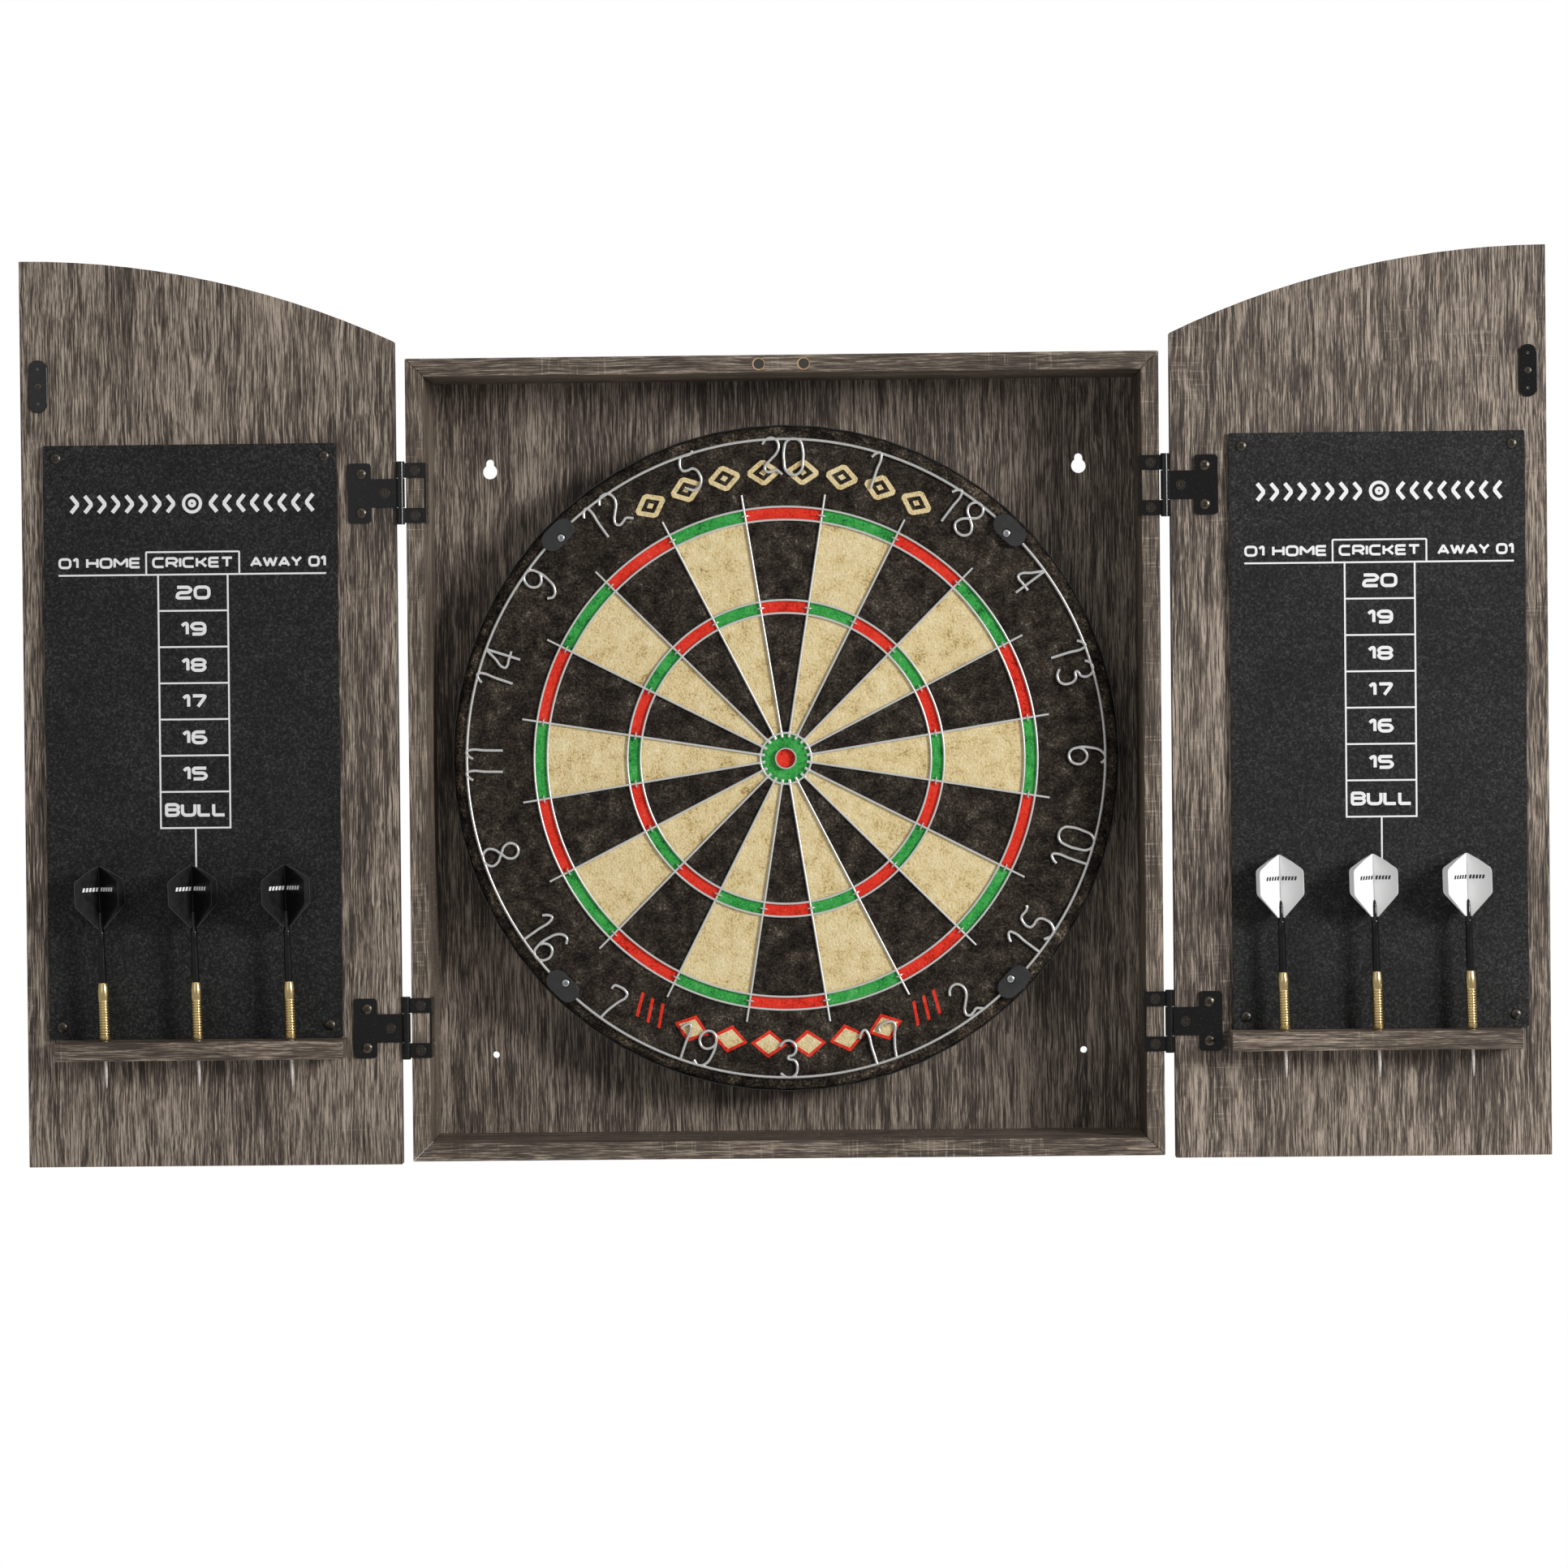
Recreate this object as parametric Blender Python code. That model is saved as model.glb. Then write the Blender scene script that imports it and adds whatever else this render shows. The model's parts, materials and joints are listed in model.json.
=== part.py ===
"""Wall-hung dartboard cabinet with two arched doors that swing through 180 degrees.

Metres, +Z up. The origin is on the wall plane, straight behind the bull: +X is the
viewer's right, +Y goes into the wall, and the doors stand open, as when a game is on.
"""

import math

import bmesh
import bpy
from mathutils import Matrix, Vector

# ---------------------------------------------------------------- driving sizes
CLEARANCE = 0.0003            # air kept between two pieces that meet

# Box frame and back panel; the frame is sized round the board
ROOM_BESIDE_BOARD = 0.014
ROOM_ABOVE_BOARD = 0.0323
ROOM_BELOW_BOARD = 0.0297
FRAME_DEPTH = 0.087
RAIL_THICKNESS = 0.012
PANEL_THICKNESS = 0.0047
REBATE_WIDTH = 0.006
BOARD_EDGE_EASING = 0.0003    # sanded edge on laminated boards

# Wall fixings through the back panel
KEYHOLE_FROM_SIDE = 0.0502
KEYHOLE_BELOW_TOP = 0.0721
KEYHOLE_RADIUS = 0.005
KEYHOLE_SLOT_WIDTH = 0.0056
KEYHOLE_SLOT_RISE = 0.0086
LOWER_HOLE_ABOVE_FOOT = 0.0654
LOWER_HOLE_RADIUS = 0.0024

# Dartboard; its radius follows from its wires
BAND_THICKNESS = 0.0008
BAND_BACK_SETBACK = 0.0013
BAND_FRONT_SETBACK = 0.0037
BACKING_THICKNESS = 0.012
SISAL_THICKNESS = 0.0257
SISAL_EDGE_RADIUS = 0.003
PAD_RADIUS = 0.009
PAD_THICKNESS = 0.0054
PAD_CIRCLE_RADIUS = 0.150
PAD_COUNT = 3

# Wires on the face of the board
WIRE_WIDTH = 0.0016
OUTER_BULL_WIRE = 0.0172
TREBLE_OUTER_WIRE = 0.1070
DOUBLE_OUTER_WIRE = 0.1700
BED_WIDTH = 0.0088            # treble and double beds, wire to wire
SPOKE_INSIDE_BULL_WIRE = 0.0027
SPOKE_PAST_DOUBLE = 0.010
BULL_RING_OUTER = 0.0073
BULL_RING_INNER = 0.00635
BULL_RING_HEIGHT = 0.003
NUMBER_RING_INSET = 0.010     # ring wire, in from the board's edge
NUMBERS_PAST_SPOKES = 0.012
NUMBER_WIRE_DIAMETER = 0.0024
NUMBER_HEIGHT = 0.0235
NUMBER_DIGIT_WIDTH = 0.0100
NUMBER_DIGIT_GAP = 0.0045
NUMBER_STROKE = 0.0016

# Turning clips that hold the number ring
CLIP_LENGTH = 0.0256
CLIP_WIDTH = 0.0148
CLIP_THICKNESS = 0.0022
CLIP_SCREW_INWARD = 0.003
CLIP_RECESS_RADIUS = 0.00315
CLIP_RECESS_DEPTH = 0.0012
CLIP_HOLE_RADIUS = 0.0016
CLIP_EDGE_EASING = 0.0004

# Strap and screw that the board hangs by
STRAP_STEEL = 0.0015
STRAP_HEIGHT = 0.030
STRAP_HAT_HALF_WIDTH = 0.018
STRAP_FOOT_LENGTH = 0.016
HANGER_HEAD_RADIUS = 0.0045
HANGER_HEAD_THICKNESS = 0.002
HANGER_NECK_RADIUS = 0.002
HANGER_DEPTH_IN_BOARD = 0.009

# Doors
DOOR_THICKNESS = 0.012
DOOR_TO_DOOR_GAP = 0.002
DOOR_FOOT_DROP = 0.0018       # the doors reach this far below the frame
DOOR_SHOULDER_RISE = 0.0115   # straight hinge side, above the frame's top
DOOR_ARCH_RISE = 0.0562       # from the shoulder to the top of the arch
ARCH_STEPS = 14

# Wrap-around hinges
LEAF_THICKNESS = 0.0012
BARREL_RADIUS = 0.0029
PIN_RADIUS = 0.0015
BARREL_HEIGHT = 0.042
FRAME_KNUCKLE_HEIGHT = 0.011
BARREL_TO_EDGE = 0.0007       # air between the barrel and each board's edge
HINGE_FROM_END = 0.0896       # hinge middle to the frame's end
TAB_HEIGHT = 0.0099
FRAME_LEAF_HEIGHT = 0.040
INNER_PLATE_DEPTH = 0.020
CROSSBAR_PAST_WALL_PLATE = 0.0024   # room beside the frame leaf when the door is shut
CROSSBAR_WIDTH = 0.0158
CROSSBAR_HEIGHT = 0.040
CROSSBAR_CORNER = 0.0026
CROSSBAR_SCREW_SPREAD = 0.026
NECK_HEIGHT = 0.0190
NECK_SCREW_FROM_AXIS = 0.0105
LEAF_SCREW_HOLE_RADIUS = 0.0019
CROSSBAR_SCREWS_OFF_MIDDLE = 0.001
INNER_SCREW_SPREAD = 0.022
INNER_SCREW_DEPTH = 0.012

# Magnetic catch
MAGNET_HALF_SPACING = 0.0150
MAGNET_RADIUS = 0.0032
MAGNET_LENGTH = 0.010
MAGNET_MOUTH_RADIUS = 0.0043
MAGNET_MOUTH_DEPTH = 0.0006
STRIKE_LENGTH = 0.0353
STRIKE_WIDTH = 0.0127
STRIKE_THICKNESS = 0.0012
STRIKE_FROM_FREE_EDGE = 0.0121
STRIKE_BELOW_FRAME_TOP = 0.0160
STRIKE_HOLE_RADIUS = 0.0022
STRIKE_EDGE_EASING = 0.0003

# Scoreboards
SCOREBOARD_THICKNESS = 0.003
SCOREBOARD_FROM_FREE_EDGE = 0.0151
SCOREBOARD_FROM_CROSSBAR = 0.0071
SCOREBOARD_BELOW_FRAME_TOP = 0.0558
SCOREBOARD_ABOVE_FRAME_FOOT = 0.0839
SCOREBOARD_CORNER = 0.0012
SCOREBOARD_SCREW_INSET = 0.0085
SCOREBOARD_HOLE_RADIUS = 0.002

# Dart holders
HOLDER_HEIGHT = 0.0124
HOLDER_DEPTH = 0.032
HOLDER_FROM_FREE_EDGE = 0.0227
HOLDER_FROM_CROSSBAR = 0.0043
DART_SPACING = 0.062
DART_HOLES_OFF_MIDDLE = 0.0018   # towards the free edge
DART_HOLE_RADIUS = 0.0028
DART_AXIS_FROM_DOOR = 0.0195

# Darts; heights are from the holder's top, along the dart
DARTS_PER_DOOR = 3
DART_LEAN = math.radians(1.5)
POINT_RADIUS = 0.00115
POINT_LENGTH = 0.028
POINT_TAPER = 0.008
NOSE_LENGTH = 0.004
NOSE_RADIUS = 0.0022
NOSE_TAPER = 0.0004
BARREL_SHOULDER = 0.0006
BARREL_BODY_RADIUS = 0.00375
BARREL_TAIL_RADIUS = 0.0030
BARREL_TAIL_TAPER = 0.005
BARREL_LENGTH = 0.039
SOCKET_RADIUS = 0.0019
SOCKET_DEPTH = 0.008
SHAFT_RADIUS = 0.0023
SHAFT_TO_FLIGHT = 0.0357
SHAFT_PRONG_LENGTH = 0.0105
FILM_THICKNESS = 0.0004
FLIGHT_LENGTH = 0.0418
FLIGHT_HALF_SPAN = 0.0205
FLIGHT_FOOT_HALF_WIDTH = 0.0030
FLIGHT_SIDE_START = 0.0155
FLIGHT_SIDE_END = 0.0320
FLIGHT_CORNER = 0.0012
FLIGHT_HEAD_HALF_WIDTH = 0.0006

# Facets of round pieces
BOARD_FACETS = 60
WIRE_STEPS_PER_SECTOR = 2
RING_WIRE_FACETS = 6
BULL_FACETS = 24
ROUND_FACETS = 20
BORE_FACETS = 16
SMALL_FACETS = 12
HOLE_FACETS = 10
DART_FACETS = 12

# ---------------------------------------------------------------- worked-out places
SECTORS = 20
SECTOR_ANGLE = 2 * math.pi / SECTORS
TOUCH = 1e-7

NUMBER_RING_RADIUS = DOUBLE_OUTER_WIRE + SPOKE_PAST_DOUBLE + NUMBERS_PAST_SPOKES + NUMBER_HEIGHT
BOARD_RADIUS = NUMBER_RING_RADIUS + NUMBER_RING_INSET
FRAME_TOP = BOARD_RADIUS + ROOM_ABOVE_BOARD + RAIL_THICKNESS
FRAME_BOTTOM = -(BOARD_RADIUS + ROOM_BELOW_BOARD + RAIL_THICKNESS)
FRAME_SIDE = BOARD_RADIUS + ROOM_BESIDE_BOARD + RAIL_THICKNESS
CABINET_WIDTH = 2 * FRAME_SIDE
CABINET_HEIGHT = FRAME_TOP - FRAME_BOTTOM
KEYHOLE_X = FRAME_SIDE - KEYHOLE_FROM_SIDE
KEYHOLE_HEIGHT = FRAME_TOP - KEYHOLE_BELOW_TOP
LOWER_HOLE_HEIGHT = FRAME_BOTTOM + LOWER_HOLE_ABOVE_FOOT
FRAME_FRONT = -FRAME_DEPTH
REBATE_DEPTH = PANEL_THICKNESS + CLEARANCE

# Depths are distances from the wall towards the viewer.
PAD_BACK = PANEL_THICKNESS + 2 * CLEARANCE
BOARD_BACK = PAD_BACK + PAD_THICKNESS + CLEARANCE
BACKING_FRONT = BOARD_BACK + BACKING_THICKNESS
SISAL_BACK = BACKING_FRONT + CLEARANCE
BOARD_FACE = SISAL_BACK + SISAL_THICKNESS
WIRE_BACK = BOARD_FACE + CLEARANCE
FILL_RADIUS = BOARD_RADIUS - BAND_THICKNESS - CLEARANCE
CLIP_BACK = WIRE_BACK + NUMBER_WIRE_DIAMETER + CLEARANCE
STRAP_FRONT = BOARD_BACK - 2 * CLEARANCE
STRAP_BACK = STRAP_FRONT - STRAP_STEEL
STRAP_FOOT_BACK = PANEL_THICKNESS + CLEARANCE

# The closed doors stand off the frame by one leaf and an air gap on both sides of it.
CLOSING_GAP = LEAF_THICKNESS + 2 * CLEARANCE
HINGE_X = FRAME_SIDE + BARREL_TO_EDGE + BARREL_RADIUS
HINGE_Y = FRAME_FRONT - CLOSING_GAP / 2
HINGE_HEIGHTS = {"upper": FRAME_TOP - HINGE_FROM_END, "lower": FRAME_BOTTOM + HINGE_FROM_END}
PIN_HOLE_RADIUS = PIN_RADIUS + CLEARANCE
DOOR_KNUCKLE_HEIGHT = BARREL_HEIGHT - 2 * (FRAME_KNUCKLE_HEIGHT + CLEARANCE)
RAIL_MIDDLE_FROM_AXIS = HINGE_X - FRAME_SIDE + RAIL_THICKNESS / 2
WALL_PLATE_BACK = HINGE_X - FRAME_SIDE + RAIL_THICKNESS + CLEARANCE
WALL_PLATE_FRONT = WALL_PLATE_BACK + LEAF_THICKNESS

# Along a door, from the hinge axis towards its free edge; across it, from the axis
# towards the wall.
DOOR_START = BARREL_TO_EDGE + BARREL_RADIUS
DOOR_END = HINGE_X - DOOR_TO_DOOR_GAP / 2
DOOR_INNER_FACE = CLOSING_GAP / 2
DOOR_OUTER_FACE = DOOR_INNER_FACE + DOOR_THICKNESS
ON_DOOR = DOOR_INNER_FACE - CLEARANCE
DOOR_BOTTOM = FRAME_BOTTOM - DOOR_FOOT_DROP
DOOR_SHOULDER = FRAME_TOP + DOOR_SHOULDER_RISE
DOOR_APEX = DOOR_SHOULDER + DOOR_ARCH_RISE
CROSSBAR_START = WALL_PLATE_FRONT + CROSSBAR_PAST_WALL_PLATE
CROSSBAR_END = CROSSBAR_START + CROSSBAR_WIDTH
SCOREBOARD_TOP = FRAME_TOP - SCOREBOARD_BELOW_FRAME_TOP
SCOREBOARD_BOTTOM = FRAME_BOTTOM + SCOREBOARD_ABOVE_FRAME_FOOT
SCOREBOARD_START = CROSSBAR_END + SCOREBOARD_FROM_CROSSBAR
SCOREBOARD_END = DOOR_END - SCOREBOARD_FROM_FREE_EDGE
HOLDER_TOP = SCOREBOARD_BOTTOM - CLEARANCE
HOLDER_BOTTOM = HOLDER_TOP - HOLDER_HEIGHT
HOLDER_START = CROSSBAR_END + HOLDER_FROM_CROSSBAR
HOLDER_END = DOOR_END - HOLDER_FROM_FREE_EDGE
HOLDER_MIDDLE = (HOLDER_START + HOLDER_END) / 2
SHAFT_SLOT_BOTTOM = BARREL_LENGTH + CLEARANCE + SHAFT_TO_FLIGHT
FLIGHT_FOOT = SHAFT_SLOT_BOTTOM + CLEARANCE


# ---------------------------------------------------------------- materials
def material(name, red, green, blue, roughness, metallic=0.0):
    """Plain Principled material from 0-255 display colours."""
    made = bpy.data.materials.new(name)
    made.use_nodes = True
    shader = made.node_tree.nodes["Principled BSDF"]
    linear = [(channel / 255) ** 2.2 for channel in (red, green, blue)]
    shader.inputs["Base Color"].default_value = (*linear, 1.0)
    shader.inputs["Roughness"].default_value = roughness
    shader.inputs["Metallic"].default_value = metallic
    return made


def make_materials():
    """Every finish on the cabinet, by the name the pieces ask for."""
    return {
        "laminate": material("dark_oak_laminate", 88, 78, 70, 0.55),
        "black_board": material("black_speckled_board", 38, 38, 39, 0.6),
        "hinge_black": material("black_painted_steel", 22, 22, 22, 0.35, 0.6),
        "bare_steel": material("bare_steel", 175, 175, 178, 0.3, 1.0),
        "wire_steel": material("zinc_plated_wire", 190, 190, 192, 0.3, 1.0),
        "sisal": material("natural_sisal", 205, 180, 135, 0.9),
        "backing": material("chipboard", 150, 120, 85, 0.85),
        "band": material("black_steel_band", 24, 24, 26, 0.4, 0.5),
        "clip": material("black_moulded_clip", 26, 26, 27, 0.5),
        "rubber": material("black_rubber", 30, 30, 30, 0.8),
        "magnet": material("nickel_magnet", 150, 150, 152, 0.3, 1.0),
        "brass": material("turned_brass", 200, 160, 80, 0.25, 1.0),
        "nylon": material("black_nylon", 20, 20, 20, 0.4),
        "film_black": material("black_flight_film", 24, 24, 25, 0.35),
        "film_white": material("white_flight_film", 232, 232, 230, 0.35),
    }


# ---------------------------------------------------------------- shape helpers
def extruded(outline, start, end, axis):
    """Closed prism: a flat outline pushed along one axis from start to end."""
    corners = {
        "X": [(start, a, b) for a, b in outline],
        "Y": [(a, start, b) for a, b in outline],
        "Z": [(a, b, start) for a, b in outline],
    }[axis]
    direction = {"X": Vector((1, 0, 0)), "Y": Vector((0, 1, 0)), "Z": Vector((0, 0, 1))}[axis]
    bm = bmesh.new()
    face = bm.faces.new([bm.verts.new(corner) for corner in corners])
    grown = bmesh.ops.extrude_face_region(bm, geom=[face])["geom"]
    raised = [item for item in grown if isinstance(item, bmesh.types.BMVert)]
    bmesh.ops.translate(bm, vec=direction * (end - start), verts=raised)
    return bm


def block(low, high):
    """Box between two corners."""
    outline = [(low[0], low[1]), (high[0], low[1]), (high[0], high[1]), (low[0], high[1])]
    return extruded(outline, low[2], high[2], "Z")


def turned(profile, facets, ring=False):
    """Solid turned about Z from (radius, height) points; a ring's profile is a loop."""
    bm = bmesh.new()
    points = [bm.verts.new((radius, 0.0, height)) for radius, height in profile]
    pairs = list(zip(points, points[1:]))
    if ring:
        pairs.append((points[-1], points[0]))
    edges = [bm.edges.new(pair) for pair in pairs]
    bmesh.ops.spin(bm, geom=points + edges, cent=(0, 0, 0), axis=(0, 0, 1),
                   angle=2 * math.pi, steps=facets, use_merge=True)
    bmesh.ops.remove_doubles(bm, verts=bm.verts, dist=TOUCH)
    return bm


def rod(radius, start, end, facets=HOLE_FACETS):
    """Plain cylinder about Z."""
    return turned([(0, start), (radius, start), (radius, end), (0, end)], facets)


def face_viewer(bm):
    """Turn heights above Z = 0 into depths from the wall towards the viewer."""
    bmesh.ops.rotate(bm, cent=(0, 0, 0), verts=bm.verts,
                     matrix=Matrix.Rotation(math.radians(90), 3, "X"))
    return bm


def moved(bm, x, y, z):
    """Shift a whole shape."""
    bmesh.ops.translate(bm, vec=(x, y, z), verts=bm.verts)
    return bm


def together(shapes):
    """Put several shapes in one bmesh."""
    joined = bmesh.new()
    for bm in shapes:
        carrier = bpy.data.meshes.new("carrier")
        bm.to_mesh(carrier)
        bm.free()
        joined.from_mesh(carrier)
        bpy.data.meshes.remove(carrier)
    return joined


def rounded_rectangle(x_low, x_high, z_low, z_high, radius, steps=3):
    """Outline with four round corners."""
    centres = [(x_high - radius, z_high - radius, 0), (x_low + radius, z_high - radius, 1),
               (x_low + radius, z_low + radius, 2), (x_high - radius, z_low + radius, 3)]
    outline = []
    for x, z, quarter in centres:
        for step in range(steps + 1):
            angle = (quarter + step / steps) * math.pi / 2
            outline.append((x + radius * math.cos(angle), z + radius * math.sin(angle)))
    return outline


def obround(length, width, steps=7):
    """Outline of a slot shape, long along Z, about the origin."""
    radius = width / 2
    straight = (length - width) / 2
    outline = []
    for side in (1, -1):
        for step in range(steps + 1):
            angle = math.pi * step / steps + (0 if side > 0 else math.pi)
            outline.append((radius * math.cos(angle), side * straight + radius * math.sin(angle)))
    return outline


# ---------------------------------------------------------------- object helpers
def make_object(name, bm, finish=None, parent=None):
    """Turn a bmesh into a named object with its faces pointing out."""
    bmesh.ops.recalc_face_normals(bm, faces=bm.faces)
    mesh = bpy.data.meshes.new(name)
    bm.to_mesh(mesh)
    bm.free()
    made = bpy.data.objects.new(name, mesh)
    bpy.context.collection.objects.link(made)
    if finish is not None:
        mesh.materials.append(finish)
    if parent is not None:
        made.parent = parent
    mesh.shade_smooth()
    mesh.set_sharp_from_angle(angle=math.radians(30))
    return made


def empty(name, location, parent=None):
    """Carrier for the pieces of one moving body."""
    made = bpy.data.objects.new(name, None)
    bpy.context.collection.objects.link(made)
    made.location = location
    if parent is not None:
        made.parent = parent
    return made


def combine(target, name, bm, operation):
    """Cut a tool shape from the target, or weld it on; the tool stays as a guide."""
    tool = make_object(name, bm, parent=target)
    tool.hide_render = True
    tool.display_type = "WIRE"
    step = target.modifiers.new(name, "BOOLEAN")
    step.operation = operation
    step.solver = "EXACT"
    step.object = tool
    return step


def ease_edges(target, width, steps=1):
    """Break the sharp edges of a piece."""
    easing = target.modifiers.new("eased_edges", "BEVEL")
    easing.width = width
    easing.segments = steps
    easing.limit_method = "ANGLE"
    easing.angle_limit = math.radians(40)


def tidy_flats(target):
    """Merge the slivers that a weld leaves across flat faces."""
    tidy = target.modifiers.new("merged_flats", "DECIMATE")
    tidy.decimate_type = "DISSOLVE"
    tidy.angle_limit = math.radians(0.5)


# ---------------------------------------------------------------- box frame
def rail(name, length, finish):
    """Mitred rail lying along X with its outer face at Z = 0 and its inner face below."""
    inner = RAIL_THICKNESS
    shelf = RAIL_THICKNESS - REBATE_WIDTH
    section = [(0, 0), (0, -FRAME_DEPTH), (inner, -FRAME_DEPTH), (inner, -REBATE_DEPTH),
               (shelf, -REBATE_DEPTH), (shelf, 0)]
    half = (length - CLEARANCE) / 2
    bm = extruded([(y, -inward) for inward, y in section], -half, half, "X")
    for vert in bm.verts:
        # The mitre: each end steps in by as much as the point lies inside the outer face.
        vert.co.x += math.copysign(1, vert.co.x) * vert.co.z
    made = make_object(name, bm, finish)
    ease_edges(made, BOARD_EDGE_EASING)
    return made


def build_frame(finishes):
    """Four mitred rails, the top one bored for the two catch magnets."""
    laminate = finishes["laminate"]
    top = rail("frame_top_rail", CABINET_WIDTH, laminate)
    top.location = (0, 0, FRAME_TOP)
    bottom = rail("frame_bottom_rail", CABINET_WIDTH, laminate)
    bottom.location = (0, 0, FRAME_BOTTOM)
    bottom.rotation_euler = (0, math.radians(180), 0)
    middle_height = (FRAME_TOP + FRAME_BOTTOM) / 2
    for side_name, side in (("left", -1), ("right", 1)):
        upright = rail(f"frame_{side_name}_side", CABINET_HEIGHT, laminate)
        upright.location = (side * FRAME_SIDE, 0, middle_height)
        upright.rotation_euler = (0, side * math.radians(90), 0)
    mouth_depth = FRAME_DEPTH - MAGNET_MOUTH_DEPTH
    pocket_depth = FRAME_DEPTH - MAGNET_MOUTH_DEPTH - MAGNET_LENGTH - CLEARANCE
    pockets = []
    for side in (-1, 1):
        for radius, back in ((MAGNET_RADIUS + CLEARANCE, pocket_depth), (MAGNET_MOUTH_RADIUS, mouth_depth)):
            pocket = face_viewer(rod(radius, back, FRAME_DEPTH + CLEARANCE, BORE_FACETS))
            pockets.append(moved(pocket, side * MAGNET_HALF_SPACING, 0, -RAIL_THICKNESS / 2))
    combine(top, "magnet_pockets", together(pockets), "DIFFERENCE").use_self = True


def build_magnets(finishes):
    """Two round magnets glued into the top rail, just below its front."""
    for side_name, side in (("left", -1), ("right", 1)):
        front = FRAME_DEPTH - MAGNET_MOUTH_DEPTH
        bm = face_viewer(rod(MAGNET_RADIUS, front - MAGNET_LENGTH, front, BORE_FACETS))
        magnet = make_object(f"catch_magnet_{side_name}", bm, finishes["magnet"])
        magnet.location = (side * MAGNET_HALF_SPACING, 0, FRAME_TOP - RAIL_THICKNESS / 2)


def build_back_panel(finishes):
    """Panel in the rebate, with two keyholes above and two round holes below."""
    grip = REBATE_WIDTH - RAIL_THICKNESS - CLEARANCE
    half_width = FRAME_SIDE + grip
    outline = [(-half_width, FRAME_BOTTOM - grip), (half_width, FRAME_BOTTOM - grip),
               (half_width, FRAME_TOP + grip), (-half_width, FRAME_TOP + grip)]
    panel = make_object("back_panel", extruded(outline, -PANEL_THICKNESS, 0, "Y"), finishes["laminate"])
    through = (-CLEARANCE, PANEL_THICKNESS + CLEARANCE)
    for side_name, side in (("left", -1), ("right", 1)):
        x = side * KEYHOLE_X
        circle = face_viewer(rod(KEYHOLE_RADIUS, *through, ROUND_FACETS))
        moved(circle, x, 0, KEYHOLE_HEIGHT)
        combine(panel, f"keyhole_circle_{side_name}", circle, "DIFFERENCE")
        top = KEYHOLE_SLOT_RISE - KEYHOLE_SLOT_WIDTH / 2
        slot = extruded(obround(2 * KEYHOLE_SLOT_RISE, KEYHOLE_SLOT_WIDTH, 6), -through[1], -through[0], "Y")
        lower = [vert for vert in slot.verts if vert.co.z < 0]
        bmesh.ops.translate(slot, vec=(0, 0, top), verts=lower)
        combine(panel, f"keyhole_slot_{side_name}", moved(slot, x, 0, KEYHOLE_HEIGHT), "DIFFERENCE")
        hole = moved(face_viewer(rod(LOWER_HOLE_RADIUS, *through)), x, 0, LOWER_HOLE_HEIGHT)
        combine(panel, f"lower_hole_{side_name}", hole, "DIFFERENCE")


def build_board_bracket(finishes):
    """Hat-shaped steel strap with an open slot that takes the hanger screw's neck."""
    hat = STRAP_HAT_HALF_WIDTH
    foot = hat + STRAP_FOOT_LENGTH
    steel = STRAP_STEEL
    right = [(hat - steel, -STRAP_BACK), (hat - steel, -STRAP_FOOT_BACK), (foot, -STRAP_FOOT_BACK),
             (foot, -STRAP_FOOT_BACK - steel), (hat, -STRAP_FOOT_BACK - steel), (hat, -STRAP_FRONT)]
    left = [(-x, y) for x, y in reversed(right)]
    bm = extruded(right + left, -STRAP_HEIGHT / 2, STRAP_HEIGHT / 2, "Z")
    bracket = make_object("board_bracket", bm, finishes["bare_steel"])
    half_slot = HANGER_NECK_RADIUS + CLEARANCE
    depths = (STRAP_BACK - CLEARANCE, STRAP_FRONT + CLEARANCE)
    combine(bracket, "slot_seat", face_viewer(rod(half_slot, *depths)), "DIFFERENCE")
    slot = block((-half_slot, -depths[1], 0), (half_slot, -depths[0], STRAP_HEIGHT))
    combine(bracket, "slot_mouth", slot, "DIFFERENCE")


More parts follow.
